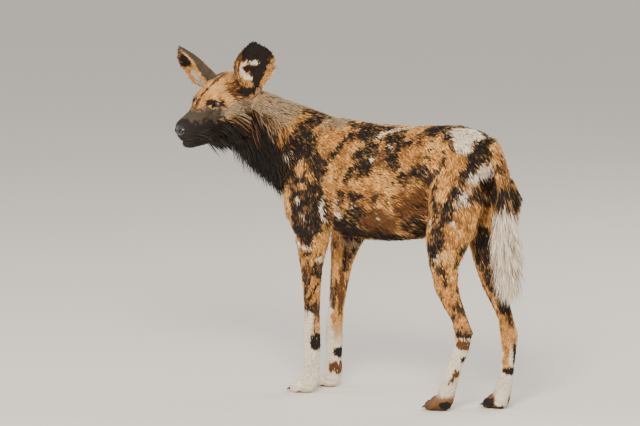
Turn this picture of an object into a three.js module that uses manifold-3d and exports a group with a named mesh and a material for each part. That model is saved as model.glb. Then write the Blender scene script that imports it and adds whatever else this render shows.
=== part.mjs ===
// African wild dog, standing with its head turned to its left, at life size.
// Millimetres, +Z up. The spine runs along X with the tail at +X, and the dog's left side is at -Y.
import * as THREE from "three";
import { mergeVertices } from "three/addons/utils/BufferGeometryUtils.js";
import Module from "manifold-3d";

const wasm = await Module();
wasm.setup();

// Driving dimensions.
const GAP = 0.35; // left between two pieces that touch
const FULL_COAT = true; // long hair as locks; false leaves one smooth form out to the tips
const BACK_HEIGHT = 680; // top of the coat over the withers
const CHEST_DEPTH = 290;
const TRUNK_HALF_WIDTH = 92;
const NECK_BASE_HALF_WIDTH = 70;
const HEAD_ORIGIN = new THREE.Vector3(-302, -72, 717); // middle of the skull, level with the eyes
const HEAD_YAW = 88; // degrees that the head is turned from the spine to the dog's left
const HEAD_PITCH = 14; // degrees that the nose points below level
const HEAD_ROLL = 0;
const EYE_RADIUS = 10.5;
const EYE_PLACE = new THREE.Vector3(81, 37, 12);
const EYE_TURN = 36; // degrees that each eye looks outwards from straight ahead
const LID_DEPTH = 2.3;
const EAR_LENGTH = 125;
const EAR_HALF_WIDTH = 68; // measured round the cup
const EAR_THICKNESS = 3.6;
const TAIL_CORE = 16;
const TOE_COUNT = 4;
const PAW_LENGTH = 78;
const CLAW_LENGTH = 15;
const CLAW_DROP = 24; // degrees that each claw points below level

const HIDE_TAN = new THREE.MeshStandardMaterial({ color: 0xc98f4e, roughness: 0.9, metalness: 0 });
const HIDE_DARK = new THREE.MeshStandardMaterial({ color: 0x2a211d, roughness: 0.9, metalness: 0 });
const HIDE_PALE = new THREE.MeshStandardMaterial({ color: 0xe6d8bf, roughness: 0.9, metalness: 0 });
const NOSE_SKIN = new THREE.MeshStandardMaterial({ color: 0x15120f, roughness: 0.45, metalness: 0 });
const EYE_GLASS = new THREE.MeshStandardMaterial({ color: 0x3a1d10, roughness: 0.1, metalness: 0 });

const FORWARD = new THREE.Vector3(-1, 0, 0);
const UP = new THREE.Vector3(0, 0, 1);

const vec = (x, y, z) => new THREE.Vector3(x, y, z);
const degrees = THREE.MathUtils.degToRad;
const mix = THREE.MathUtils.lerp;

// Repeatable random numbers from 0 to 1.
function dice(seed) {
  let state = seed;
  return () => {
    state = (state * 1664525 + 1013904223) % 4294967296;
    return state / 4294967296;
  };
}

// A geometry as a manifold-3d solid, with its shared vertices merged.
function solid(geometry) {
  const bare = geometry.clone();
  bare.deleteAttribute("normal");
  bare.deleteAttribute("uv");
  const merged = mergeVertices(bare, 1e-4);
  const vertProperties = new Float32Array(merged.attributes.position.array);
  const triVerts = new Uint32Array(merged.index.array);
  return new wasm.Manifold(new wasm.Mesh({ numProp: 3, vertProperties, triVerts }));
}

const union = (solids) => wasm.Manifold.union(solids);

// The largest closed surface of a solid.
function largest(made) {
  return made.decompose().reduce((a, b) => (b.volume() > a.volume() ? b : a));
}

function meshOf(name, made, material) {
  const kept = largest(made).getMesh();
  const geometry = new THREE.BufferGeometry();
  geometry.setAttribute("position", new THREE.BufferAttribute(kept.vertProperties.slice(), 3));
  geometry.setIndex(new THREE.BufferAttribute(kept.triVerts.slice(), 1));
  geometry.computeVertexNormals();
  const mesh = new THREE.Mesh(geometry, material);
  mesh.name = name;
  return mesh;
}

// A closed tube of oval rings. A station is [x, y, z, side, front, back]: front and back are the reach
// of its ring towards and away from the direction "facing", and side is the reach across.
function tube(stations, { sides, perSpan, facing, grow = 0, power = 2 }) {
  const middle = new THREE.CatmullRomCurve3(stations.map((s) => vec(s[0], s[1], s[2])), false, "catmullrom");
  const reach = new THREE.CatmullRomCurve3(stations.map((s) => vec(s[3], s[4], s[5])), false, "catmullrom");
  const rings = perSpan * (stations.length - 1);
  const geometry = new THREE.CylinderGeometry(1, 1, 1, sides, rings);
  const place = geometry.attributes.position;
  for (let i = 0; i < place.count; i++) {
    const t = THREE.MathUtils.clamp(0.5 - place.getY(i), 0, 1);
    const across = place.getX(i);
    const ahead = place.getZ(i);
    const size = Math.min(1, Math.hypot(across, ahead));
    const centre = middle.getPoint(t);
    const along = middle.getTangent(t);
    const front = facing.clone().addScaledVector(along, -facing.dot(along)).normalize();
    const side = front.clone().cross(along);
    const r = reach.getPoint(t);
    const turn = Math.atan2(across, ahead);
    const bend = (value) => Math.sign(value) * Math.abs(value) ** (2 / power);
    const depth = bend(Math.cos(turn)) * ((Math.cos(turn) > 0 ? r.y : r.z) + grow);
    const width = bend(Math.sin(turn)) * (r.x + grow);
    centre.addScaledVector(front, size * depth).addScaledVector(side, size * width);
    if (grow && (t === 0 || t === 1)) centre.addScaledVector(along, t ? grow : -grow);
    place.setXYZ(i, centre.x, centre.y, centre.z);
  }
  return solid(geometry);
}

// An oval ball, turned by a quaternion.
function ball(centre, radii, detail = 12, turn = new THREE.Quaternion()) {
  const geometry = new THREE.SphereGeometry(1, detail, Math.round(detail * 0.66));
  geometry.applyMatrix4(new THREE.Matrix4().compose(centre, turn, radii));
  return solid(geometry);
}

// A block that fills the space on one side of a plane, near the point given.
function beyond(point, direction, width, depth) {
  const turn = new THREE.Quaternion().setFromUnitVectors(UP, direction.clone().normalize());
  const geometry = new THREE.BoxGeometry(width, width, depth);
  geometry.translate(0, 0, depth / 2);
  geometry.applyMatrix4(new THREE.Matrix4().compose(point, turn, vec(1, 1, 1)));
  return solid(geometry);
}

// Cuts a solid in two at a plane, with the gap between the halves.
function partAt(made, point, direction, width, depth) {
  const unit = direction.clone().normalize();
  const beyondPlane = beyond(point.clone().addScaledVector(unit, GAP / 2), unit, width, depth);
  const cutter = beyond(point.clone().addScaledVector(unit, -GAP / 2), unit, width, depth + GAP);
  return [made.intersect(beyondPlane), made.subtract(cutter)];
}

// A flat, tapered lock of hair: four-sided rings from a sunk root to a point, bending towards "fall".
function lock({ root, out, fall, length, width, thickness, curl, sweep = 0, grow = 0 }) {
  const rings = 3;
  const geometry = new THREE.CylinderGeometry(1, 1, 1, 4, rings);
  const place = geometry.attributes.position;
  const fullness = [0.8, 1, 0.74, 0.03];
  const across = out.clone().cross(fall).normalize();
  for (let i = 0; i < place.count; i++) {
    const step = Math.round((0.5 - place.getY(i)) * rings);
    const t = step / rings;
    const bend = Math.min(1, t * curl);
    const along = out.clone().multiplyScalar(1 - bend).addScaledVector(fall, bend).normalize();
    const lift = along.clone().cross(across).normalize();
    const centre = root.clone();
    for (let k = 0; k < step; k++) {
      const part = Math.min(1, ((k + 0.5) / rings) * curl);
      const leg = out.clone().multiplyScalar(1 - part).addScaledVector(fall, part).normalize();
      centre.addScaledVector(leg, length / rings);
    }
    centre.addScaledVector(across, sweep * t * t);
    if (step === 0 || step === rings) centre.addScaledVector(along, step ? grow : -grow);
    const wide = place.getX(i) * ((width * fullness[step]) / 2 + grow);
    const thick = place.getZ(i) * ((thickness * fullness[step]) / 2 + grow);
    centre.addScaledVector(across, wide).addScaledVector(lift, thick);
    place.setXYZ(i, centre.x, centre.y, centre.z);
  }
  const made = solid(geometry);
  return made.volume() < 0 ? null : made;
}

// Trunk: x, then the back line, the belly line and the half width at that place.
const TRUNK_LINES = [
  [-168, 0.8, 0.33, 0.34],
  [-150, 0.865, 0.17, 0.62],
  [-105, 0.945, 0.065, 0.8],
  [-45, 1.0, 0.025, 0.87],
  [20, 1.0, 0.005, 0.93],
  [95, 0.992, 0.0, 1.0],
  [170, 0.993, 0.01, 1.02],
  [240, 0.999, 0.045, 0.98],
  [300, 1.007, 0.13, 0.88],
  [350, 1.014, 0.25, 0.8],
  [400, 1.015, 0.36, 0.78],
  [445, 1.0, 0.42, 0.74],
  [480, 0.965, 0.5, 0.6],
  [504, 0.91, 0.64, 0.34],
];
const BELLY_HEIGHT = BACK_HEIGHT - CHEST_DEPTH;

function trunk(grow = 0) {
  const stations = TRUNK_LINES.map(([x, back, belly, width]) => {
    const top = BACK_HEIGHT * back;
    const bottom = BELLY_HEIGHT + CHEST_DEPTH * belly;
    const middle = mix(bottom, top, 0.52);
    return [x, 0, middle, TRUNK_HALF_WIDTH * width, top - middle, middle - bottom];
  });
  const barrel = tube(stations, { sides: 22, perSpan: 1, facing: UP, power: 2.15, grow });
  return grow ? barrel : union([barrel, ball(vec(462, 0, 520), vec(19, 17, 25), 12)]);
}

// Neck: it leaves the shoulders forwards and bends to the dog's left as it nears the skull.
const NECK = [
  [-20, 0, 575, 0.8, 92, 115],
  [-85, 0, 596, 1.0, 94, 124],
  [-150, -3, 626, 0.93, 80, 112],
  [-208, -8, 650, 0.85, 68, 96],
  [-254, -22, 674, 0.78, 60, 82],
  [-282, -44, 690, 0.72, 54, 68],
  [-292, -70, 698, 0.66, 44, 52],
];
const neckStations = NECK.map(([x, y, z, w, up, down]) => [x, y, z, w * NECK_BASE_HALF_WIDTH, up, down]);
const neck = (grow) => tube(neckStations, { sides: 20, perSpan: 2, facing: UP, power: 2.1, grow });

// Legs. The side of each is -1 for the left and 1 for the right; y values are measured outwards.
const FORE_UPPER = [
  [-16, 22, 640, 16, 26, 30],
  [-40, 46, 590, 27, 55, 58],
  [-54, 62, 525, 32, 76, 78],
  [-44, 69, 455, 33, 72, 74],
  [-32, 70, 402, 32, 54, 62],
];
const FORE_LOWER = [
  [0, 0, 358, 29, 40, 46],
  [0, -3, 315, 26, 31, 31],
  [0, -6, 262, 22, 25, 25],
  [0, -9, 200, 19, 21, 21],
  [0, -10, 150, 22, 22, 23],
  [0, -10, 118, 21, 21, 24],
  [0, -10, 80, 20, 20, 21],
  [-3, -9, 46, 24, 22, 23],
  [-8, -8, 24, 27, 24, 22],
];
const HIND_UPPER = [
  [408, 20, 625, 20, 36, 44],
  [420, 44, 575, 36, 68, 68],
  [428, 58, 512, 44, 82, 84],
  [424, 65, 455, 42, 72, 74],
];
// The right thigh is swung further back than the left.
const THIGH_BACK = [6, 14, 20, 16];
const HIND_LOWER_LEFT = [
  [414, 70, 405, 36, 60, 56],
  [404, 68, 358, 29, 42, 42],
  [410, 65, 305, 24, 35, 33],
  [425, 63, 268, 20, 27, 28],
  [446, 61, 230, 17, 20, 23],
  [459, 60, 195, 20, 22, 27],
  [455, 60, 158, 17.5, 18, 20],
  [439, 60, 120, 17, 18, 18],
  [423, 60, 83, 19, 19, 19],
  [408, 60, 48, 23, 21, 21],
  [400, 60, 24, 26, 22, 20],
];
const HIND_LOWER_RIGHT = [
  [424, 70, 405, 36, 58, 54],
  [428, 68, 358, 29, 42, 40],
  [446, 65, 305, 24, 33, 31],
  [466, 63, 268, 20, 26, 26],
  [487, 61, 225, 17, 19, 22],
  [500, 60, 180, 20, 22, 26],
  [500, 60, 140, 17.5, 18, 20],
  [496, 60, 105, 17, 18, 18],
  [490, 60, 72, 19, 19, 19],
  [482, 60, 44, 23, 21, 21],
  [476, 60, 24, 26, 22, 20],
];
// Where each foreleg stands: x of the elbow, x of the wrist and sideways place of the foot.
const FORE_LEFT = { elbow: -36, wrist: -43, foot: 66 };
const FORE_RIGHT = { elbow: -46, wrist: -70, foot: 64 };

function foreStations({ elbow, wrist, foot }) {
  const topZ = FORE_LOWER[0][2];
  const wristZ = FORE_LOWER[4][2];
  const lower = FORE_LOWER.map(([x, y, z, ...reach]) => {
    const down = Math.min(1, (topZ - z) / (topZ - wristZ));
    return [mix(elbow, wrist, down) + x, foot + y, z, ...reach];
  });
  return [...FORE_UPPER, ...lower];
}

// A paw: a pad with four arched toes, each with a blunt claw, cut flat where it stands.
function paw(heel, yaw) {
  const parts = [];
  const turn = new THREE.Quaternion().setFromAxisAngle(UP, degrees(180 + yaw));
  const at = (x, y, z) => vec(x, y, z).applyQuaternion(turn).add(heel);
  parts.push(ball(at(16, 0, 19), vec(30, 26, 22), 10, turn));
  for (let toe = 0; toe < TOE_COUNT; toe++) {
    const spread = toe - (TOE_COUNT - 1) / 2;
    const inner = Math.abs(spread) < 1;
    const ahead = PAW_LENGTH * (inner ? 0.6 : 0.46);
    const splay = degrees(spread * -7);
    const toeTurn = turn.clone().multiply(new THREE.Quaternion().setFromAxisAngle(UP, -splay));
    const lean = new THREE.Quaternion().setFromAxisAngle(vec(0, 1, 0), degrees(18));
    parts.push(ball(at(ahead - 4, -spread * 14, 13), vec(21, 9.2, 14), 7, toeTurn.clone().multiply(lean)));
    const tip = at(ahead + 12, -spread * 15.5, 9);
    const claw = new THREE.ConeGeometry(3.6, CLAW_LENGTH, 5);
    claw.rotateZ(degrees(-90));
    claw.rotateY(degrees(CLAW_DROP));
    claw.applyMatrix4(new THREE.Matrix4().compose(tip, toeTurn, vec(1, 1, 1)));
    parts.push(solid(claw));
  }
  return union(parts);
}

function leg(stations, side, yaw) {
  const placed = stations.map(([x, y, z, ...reach]) => [x, y * side, z, ...reach]);
  const foot = placed[placed.length - 1];
  const limb = tube(placed, { sides: 12, perSpan: 1, facing: FORWARD });
  const whole = union([limb, paw(vec(foot[0] + 6, foot[1], 0), yaw)]);
  const floor = beyond(vec(foot[0], foot[1], 0), vec(0, 0, -1), 400, 100);
  return whole.subtract(floor);
}

// The same limb a little larger and without its paw, to cut the trunk clear of it.
function legRoom(stations, side) {
  const placed = stations.slice(0, 7).map(([x, y, z, ...reach]) => [x, y * side, z, ...reach]);
  return tube(placed, { sides: 12, perSpan: 1, facing: FORWARD, grow: GAP });
}

// Head, in a frame of its own: +X out of the nose, +Y to the dog's left, +Z out of the crown.
// x, middle height, half width, reach up and reach down.
const FACE = [
  [-66, 2, 26, 22, 26],
  [-55, 3, 45, 40, 42],
  [-28, 4, 61, 56, 60],
  [4, 2, 67, 60, 68],
  [34, -4, 68, 57, 71],
  [60, -9, 61, 52, 69],
  [81, -13, 51, 47, 62],
  [98, -19, 42, 41, 51],
  [122, -25, 36, 35, 43],
  [148, -29, 32.5, 32, 38],
  [170, -31, 29, 28, 33],
  [182, -33, 23, 20, 25],
  [188, -34, 14, 12, 15],
];
const JAW = [
  [10, -44, 46, 20, 30],
  [44, -56, 42, 18, 25],
  [80, -62, 34, 18, 21],
  [115, -65, 28, 18, 19],
  [148, -65, 24, 17, 16],
  [168, -64, 19, 15, 13],
  [178, -62, 11, 11, 8],
];
const MOUTH_CORNER = vec(86, 38, -49);
const MOUTH_FRONT = vec(186, 0, -52);

function headFrame() {
  const yaw = new THREE.Quaternion().setFromAxisAngle(UP, degrees(180 + HEAD_YAW));
  const pitch = new THREE.Quaternion().setFromAxisAngle(vec(0, 1, 0), degrees(HEAD_PITCH));
  const roll = new THREE.Quaternion().setFromAxisAngle(vec(1, 0, 0), degrees(HEAD_ROLL));
  return new THREE.Matrix4().compose(HEAD_ORIGIN, yaw.multiply(pitch).multiply(roll), vec(1, 1, 1));
}

// The lip line from corner to corner round the front of the muzzle.
function lipLine(radius, sides, perSpan) {
  const half = [
    [MOUTH_CORNER.x, MOUTH_CORNER.y, MOUTH_CORNER.z],
    [112, 33, -52],
    [142, 28.5, -53],
    [167, 22.5, -53],
    [181, 12, -52],
];
  const rightHalf = half.map(([x, y, z]) => [x, -y, z]).reverse();
  const path = [...half, [MOUTH_FRONT.x, 0, MOUTH_FRONT.z], ...rightHalf];
  const stations = path.map((p) => [...p, radius, radius, radius]);
  return tube(stations, { sides, perSpan, facing: UP });
}

function eyeTurn(side) {
  return new THREE.Quaternion().setFromAxisAngle(UP, degrees(EYE_TURN * side));
}

// The almond opening between the lids, as a prism along the eye's line of sight.
function almond(side) {
  const halfLong = 11.5;
  const outline = new THREE.Shape();
  outline.moveTo(-halfLong * side, -1.5);
  outline.quadraticCurveTo(0, 11.5, halfLong * side, 1);
  outline.quadraticCurveTo(0, -11, -halfLong * side, -1.5);
  const prism = new THREE.ExtrudeGeometry(outline, { depth: 30, bevelEnabled: false, curveSegments: 5 });
  // The shape's x runs to the dog's left, its y upwards and its depth along the sight.
  prism.applyMatrix4(new THREE.Matrix4().makeBasis(vec(0, 1, 0), vec(0, 0, 1), vec(1, 0, 0)));
  prism.applyMatrix4(new THREE.Matrix4().compose(sided(EYE_PLACE, side), eyeTurn(side), vec(1, 1, 1)));
  return solid(prism);
}

const sided = (place, side) => vec(place.x, place.y * side, place.z);

const NOSE_PLACE = vec(184, 0, -26);
const NOSE_REACH = vec(13.5, 18, 13.5);

function nosePad(grow) {
  const reach = NOSE_REACH.clone().addScalar(grow);
  const pad = ball(NOSE_PLACE, reach, 12);
  if (grow) return pad;
  const nostrils = [-1, 1].flatMap((side) => [
    ball(vec(195, 7.5 * side, -25), vec(7, 3.6, 4.4), 7),
    ball(vec(189, 14.5 * side, -28), vec(6, 5, 1.8), 6),
  ]);
  const furrow = ball(vec(198, 0, -32), vec(4, 0.9, 9), 8);
  return pad.subtract(union([...nostrils, furrow]));
}

const faceTube = (grow) =>
  tube(
    FACE.map(([x, z, w, up, down]) => [x, 0, z, w, up, down]),
    { sides: 24, perSpan: 2, facing: UP, power: 2.4, grow },
  );
const jawTube = (grow) =>
  tube(
    JAW.map(([x, z, w, up, down]) => [x, 0, z, w, up, down]),
    { sides: 14, perSpan: 1, facing: UP, power: 2.4, grow },
  );
const earRoot = (side, grow) =>
  ball(vec(-8, 50 * side, 22), vec(27 + grow, 21 + grow, 25 + grow), 12);

// The head a little larger, to cut its neighbours clear of it.
const headRoom = () => union([faceTube(GAP), jawTube(GAP), earRoot(-1, GAP), earRoot(1, GAP)]);

function headSolid() {
  const face = faceTube(0);
  const jaw = jawTube(0);
  const added = [face, jaw, lipLine(3.2, 6, 2)];
  const removed = [lipLine(1.1, 4, 2), nosePad(GAP)];
  for (const side of [-1, 1]) {
    added.push(ball(vec(64, 30 * side, 22), vec(28, 16, 12), 12)); // brow
    added.push(earRoot(side, 0));
    added.push(ball(sided(EYE_PLACE, side), vec(1, 1, 1).multiplyScalar(EYE_RADIUS + LID_DEPTH), 12));
    removed.push(ball(sided(EYE_PLACE, side), vec(1, 1, 1).multiplyScalar(EYE_RADIUS + GAP), 12));
    removed.push(almond(side));
  }
  return union(added).subtract(union(removed));
}

// An ear: a deep cup, almost a tube at its root and open above, with a round top and a soft rim.
// "rise" is the way it stands, and "open" the way its hollow faces, both in the head's frame. "curl" is
// how far its edges roll in, as a share of the usual.
const EARS = {
  left: { root: vec(-12, 60, 20), rise: vec(0, 0.4, 0.92), open: vec(0.34, 0.93, 0.05), curl: 1 },
  right: { root: vec(-4, -60, 28), rise: vec(0.33, -0.65, 0.76), open: vec(0.83, -0.55, 0.12), curl: 1.12 },
};
const EAR_ACROSS = 10;
const EAR_ALONG = 9;

function earSheet({ root, rise, open, curl }) {
  const up = rise.clone().normalize();
  const out = open.clone().addScaledVector(up, -open.dot(up)).normalize();
  const across = up.clone().cross(out);
  const point = (s, t, lift) => {
    const low = THREE.MathUtils.smoothstep(t, 0, 0.42);
    const high = Math.sqrt(Math.max(0.0004, 1 - Math.max(0, (t - 0.46) / 0.545) ** 2));
    const half = EAR_HALF_WIDTH * mix(0.8, 1, low) * high;
    const wrap = curl * mix(2.1, 0.9, THREE.MathUtils.smoothstep(t, 0, 0.7));
    const radius = half / wrap;
    const turn = s * wrap;
    const back = -14 * Math.sin(t * Math.PI * 0.5) * (1 - t);
    const centre = root.clone().addScaledVector(up, t * EAR_LENGTH).addScaledVector(out, radius + back - 20);
    const away = out.clone().multiplyScalar(-Math.cos(turn)).addScaledVector(across, Math.sin(turn));
    return centre.addScaledVector(away, radius + lift);
  };
  const geometry = new THREE.PlaneGeometry(2, 1, EAR_ACROSS, EAR_ALONG);
  const sheet = geometry.attributes.position;
  const count = sheet.count;
  const places = new Float32Array(count * 6);
  for (let i = 0; i < count; i++) {
    const s = sheet.getX(i);
    const t = sheet.getY(i) + 0.5;
    const thick = EAR_THICKNESS * mix(1.3, 0.75, t) * mix(1, 0.7, s * s);
    [thick / 2, -thick / 2].forEach((lift, layer) => point(s, t, lift).toArray(places, (layer * count + i) * 3));
  }
  const faces = [];
  const cells = geometry.index.array;
  for (let i = 0; i < cells.length; i += 3) {
    faces.push(cells[i], cells[i + 1], cells[i + 2]);
    faces.push(count + cells[i], count + cells[i + 2], count + cells[i + 1]);
  }
  const wide = EAR_ACROSS + 1;
  const edge = [];
  for (let i = 0; i < EAR_ACROSS; i++) edge.push(i);
  for (let i = 0; i < EAR_ALONG; i++) edge.push(i * wide + EAR_ACROSS);
  for (let i = EAR_ACROSS; i > 0; i--) edge.push(EAR_ALONG * wide + i);
  for (let i = EAR_ALONG; i > 0; i--) edge.push(i * wide);
  edge.forEach((a, i) => {
    const b = edge[(i + 1) % edge.length];
    faces.push(a, b, count + b, a, count + b, count + a);
  });
  const shell = new THREE.BufferGeometry();
  shell.setAttribute("position", new THREE.BufferAttribute(places, 3));
  shell.setIndex(faces);
  let made = solid(shell);
  if (made.volume() < 0) {
    shell.setIndex(faces.map((f, i) => faces[i - (i % 3) + [0, 2, 1][i % 3]]));
    made = solid(shell);
  }
  return made;
}

// Tail: it leaves the croup backwards and hangs straight down.
const TAIL = [
  [470, 0, 645, 1.4],
  [496, 0, 640, 1.3],
  [516, 0, 612, 1.2],
  [529, 0, 570, 1.1],
  [536, 0, 510, 1.0],
  [540, 0, 450, 0.85],
  [545, 0, 390, 0.6],
  [549, 0, 340, 0.3],
];
// Reach of the hair from the tail's middle along its hanging length, from the root to the tip.
const TAIL_TIP = 262;

function tailSolid() {
  const stations = TAIL.map(([x, y, z, r]) => [x, y, z, r * TAIL_CORE, r * TAIL_CORE, r * TAIL_CORE]);
  const core = tube(stations, { sides: 10, perSpan: 1, facing: FORWARD });
  if (!FULL_COAT) {
    const plume = [
      [516, 0, 605, 20, 20, 20],
      [524, 0, 560, 27, 27, 27],
      [530, 0, 480, 33, 33, 33],
      [536, 0, 400, 31, 31, 31],
      [542, 0, 330, 19, 19, 19],
      [548, 0, TAIL_TIP, 3, 3, 3],
    ];
    return union([core, tube(plume, { sides: 12, perSpan: 2, facing: FORWARD })]);
  }
  const roll = dice(7);
  const middle = new THREE.CatmullRomCurve3(TAIL.map((s) => vec(s[0], s[1], s[2])), false, "catmullrom");
  const locks = [];
  const tiers = 7;
  for (let tier = 0; tier < tiers; tier++) {
    const t = mix(0.2, 0.97, tier / (tiers - 1));
    const centre = middle.getPoint(t);
    const down = middle.getTangent(t);
    const around = tier > tiers - 3 ? 4 : 6;
    const thin = mix(1.25, 0.55, t);
    for (let k = 0; k < around; k++) {
      const angle = ((k + (tier % 2) * 0.5 + roll() * 0.25) / around) * Math.PI * 2;
      const front = FORWARD.clone().addScaledVector(down, -FORWARD.dot(down)).normalize();
      const side = front.clone().cross(down);
      const out = front.multiplyScalar(Math.cos(angle)).addScaledVector(side, Math.sin(angle));
      const spread = mix(0.45, 0.85, THREE.MathUtils.smoothstep(t, 0.15, 0.5));
      locks.push(
        lock({
          root: centre.clone().addScaledVector(out, TAIL_CORE * thin * 0.6),
          out: out.clone().multiplyScalar(spread).add(down).normalize(),
          fall: vec(0, 0, -1).addScaledVector(out, 0.12).normalize(),
          length: mix(68, 100, t) * mix(0.9, 1.1, roll()),
          width: 25,
          thickness: 7,
          curl: 1.2,
          sweep: mix(-5, 5, roll()),
        }),
      );
    }
  }
  return union([core, ...locks.filter(Boolean)]);
}

const headMatrix = headFrame();
const inBody = (made) => made.transform(headMatrix.elements);
const pointInBody = (p) => p.clone().applyMatrix4(headMatrix);
const wayInBody = (p) => p.clone().transformDirection(headMatrix);

// The head and neck are modelled whole and then parted at planes.
const NECK_CUT = { at: vec(-128, 0, 620), way: vec(-0.86, -0.08, 0.42).normalize() };
const HEAD_CUT = { at: pointInBody(vec(-14, 0, -20)), way: wayInBody(vec(0.86, -0.12, 0.5)) };

// The middle of the throat from the chest to the chin, the reach to the roots of the ruff at its side
// and below it, and the length of the hair there.
const RUFF = [
  [-142, -5, 618, 56, 92, 66],
  [-186, -8, 642, 54, 90, 82],
  [-226, -16, 662, 50, 78, 100],
  [-258, -34, 678, 46, 68, 110],
  [-284, -64, 690, 45, 62, 104],
  [-300, -104, 682, 42, 49, 84],
  [-305, -138, 668, 34, 48, 56],
];
const RUFF_TIERS = 7;
const RUFF_ACROSS = 5;
const ROOT_MARGIN = 12; // how far past the plane a lock's root must lie to grow from the head

// Throat ruff: long hair that hangs from the underside of the neck and jaw, in tiers from the chin to the
// chest. It gives the locks that are rooted on one side of the plane between head and neck.
function ruffLocks(onHead, grow = 0) {
  if (!FULL_COAT) {
    const apron = [
      [-120, -8, 545, 30, 20, 24],
      [-180, -18, 560, 44, 26, 62],
      [-232, -40, 588, 46, 30, 72],
      [-268, -74, 612, 42, 24, 52],
      [-284, -112, 636, 24, 14, 18],
    ];
    return onHead ? [] : [tube(apron, { sides: 12, perSpan: 2, facing: UP })];
  }
  const roll = dice(23);
  const points = RUFF.map((s) => vec(s[0], s[1], s[2]));
  const middle = new THREE.CatmullRomCurve3(points, false, "catmullrom");
  const reach = new THREE.CatmullRomCurve3(RUFF.map((s) => vec(s[3], s[4], s[5])), false, "catmullrom");
  const locks = [];
  for (let tier = 0; tier < RUFF_TIERS; tier++) {
    const t = tier / (RUFF_TIERS - 1);
    const centre = middle.getPoint(t);
    const along = middle.getTangent(t);
    const r = reach.getPoint(t);
    const below = UP.clone().addScaledVector(along, -UP.dot(along)).normalize().negate();
    const side = below.clone().cross(along);
    for (let k = 0; k < RUFF_ACROSS; k++) {
      const spread = (k + (tier % 2) * 0.5 + roll() * 0.2) / (RUFF_ACROSS - 0.4);
      const angle = mix(-1.25, 1.25, spread);
      const out = below.clone().multiplyScalar(Math.cos(angle)).addScaledVector(side, Math.sin(angle));
      const skin = 1 / Math.hypot(Math.cos(angle) / r.y, Math.sin(angle) / r.x);
      const start = out.clone().multiplyScalar(0.75).addScaledVector(along, -0.5).normalize();
      const fall = vec(0.2, 0.08, -0.97).addScaledVector(out, 0.1).normalize();
      const root = centre.clone().addScaledVector(out, skin);
      const length = r.z * mix(0.86, 1.08, roll()) * (1 - 0.22 * Math.abs(angle));
      const sweep = mix(-6, 6, roll());
      if (root.clone().sub(HEAD_CUT.at).dot(HEAD_CUT.way) > ROOT_MARGIN !== onHead) continue;
      locks.push(lock({ root, out: start, fall, length, width: 41, thickness: 8, curl: 1.15, sweep, grow }));
    }
  }
  return locks.filter(Boolean);
}

const foreLeft = foreStations(FORE_LEFT);
const foreRight = foreStations(FORE_RIGHT);
const hindLeft = [...HIND_UPPER, ...HIND_LOWER_LEFT];
const hindRight = [
  ...HIND_UPPER.map(([x, y, z, ...reach], i) => [x + THIGH_BACK[i], y, z, ...reach]),
  ...HIND_LOWER_RIGHT,
];

const dog = new THREE.Group();

const bodyWhole = union([trunk(), neck(0), inBody(headSolid())]);
const [frontPart, trunkPart] = partAt(bodyWhole, NECK_CUT.at, NECK_CUT.way, 900, 700);
const [headPart, neckPart] = partAt(frontPart, HEAD_CUT.at, HEAD_CUT.way, 700, 500);
const headClear = inBody(headRoom());
const neckClear = neck(GAP);
const trunkClear = trunk(GAP);
const pastHeadCut = (way) =>
  beyond(HEAD_CUT.at.clone().addScaledVector(HEAD_CUT.way, (-way * GAP) / 2), HEAD_CUT.way.clone().multiplyScalar(way), 700, 500);
const headSide = pastHeadCut(1);
const neckSide = pastHeadCut(-1);
const throatRoom = union([headClear, neckClear]).intersect(neckSide);
const headLocks = union(ruffLocks(true)).subtract(union([throatRoom, trunkClear]));
dog.add(meshOf("head", union([headPart, headLocks]), HIDE_TAN));

for (const [name, ear] of Object.entries(EARS)) {
  dog.add(meshOf("ear_" + name, inBody(earSheet(ear)).subtract(headClear), HIDE_DARK));
}
dog.add(meshOf("nose_pad", inBody(nosePad(0)), NOSE_SKIN));
for (const [name, side] of [["left", 1], ["right", -1]]) {
  const eye = ball(sided(EYE_PLACE, side), vec(1, 1, 1).multiplyScalar(EYE_RADIUS), 12);
  dog.add(meshOf("eye_" + name, inBody(eye), EYE_GLASS));
}

const rooms = [legRoom(foreLeft, -1), legRoom(foreRight, 1), legRoom(hindLeft, -1), legRoom(hindRight, 1)];
dog.add(meshOf("torso", trunkPart.subtract(union(rooms)), HIDE_TAN));
dog.add(meshOf("tail", tailSolid().subtract(union([trunkClear, ...rooms])), HIDE_PALE));

// The ruff hangs in front of the chest and under the jaw, and stays clear of both.
const backSide = beyond(
  NECK_CUT.at.clone().addScaledVector(NECK_CUT.way, GAP / 2),
  NECK_CUT.way.clone().negate(),
  900,
  500,
);
const ruffRoom = [headClear, trunkClear, neckClear.intersect(headSide), neckClear.intersect(backSide)];
const headLocksClear = union(ruffLocks(true, GAP));
const ruff = union(ruffLocks(false)).subtract(union([...ruffRoom, ...rooms, headLocksClear]));
dog.add(meshOf("neck", union([neckPart.subtract(union(rooms)), ruff]), HIDE_DARK));

dog.add(meshOf("leg_front_left", leg(foreLeft, -1, 4), HIDE_TAN));
dog.add(meshOf("leg_front_right", leg(foreRight, 1, -4), HIDE_TAN));
dog.add(meshOf("leg_hind_left", leg(hindLeft, -1, 4), HIDE_TAN));
dog.add(meshOf("leg_hind_right", leg(hindRight, 1, -4), HIDE_TAN));

// The origin is at the middle of the footprint, on the floor.
const box = new THREE.Box3().setFromObject(dog);
const middle = box.getCenter(new THREE.Vector3());
dog.position.set(-middle.x, -middle.y, -box.min.z);

export default dog;
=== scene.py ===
"""African wild dog, life size and still: its skin, coat, eyes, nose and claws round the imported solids.

All forms are worked out in the dog's own frame, in metres: the spine runs along X with the tail at
+X, the dog's left side is at -Y and the floor is at z = 0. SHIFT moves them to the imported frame.
"""

import logging
import math
from dataclasses import dataclass, fields, replace
from enum import Enum
from functools import lru_cache

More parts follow.
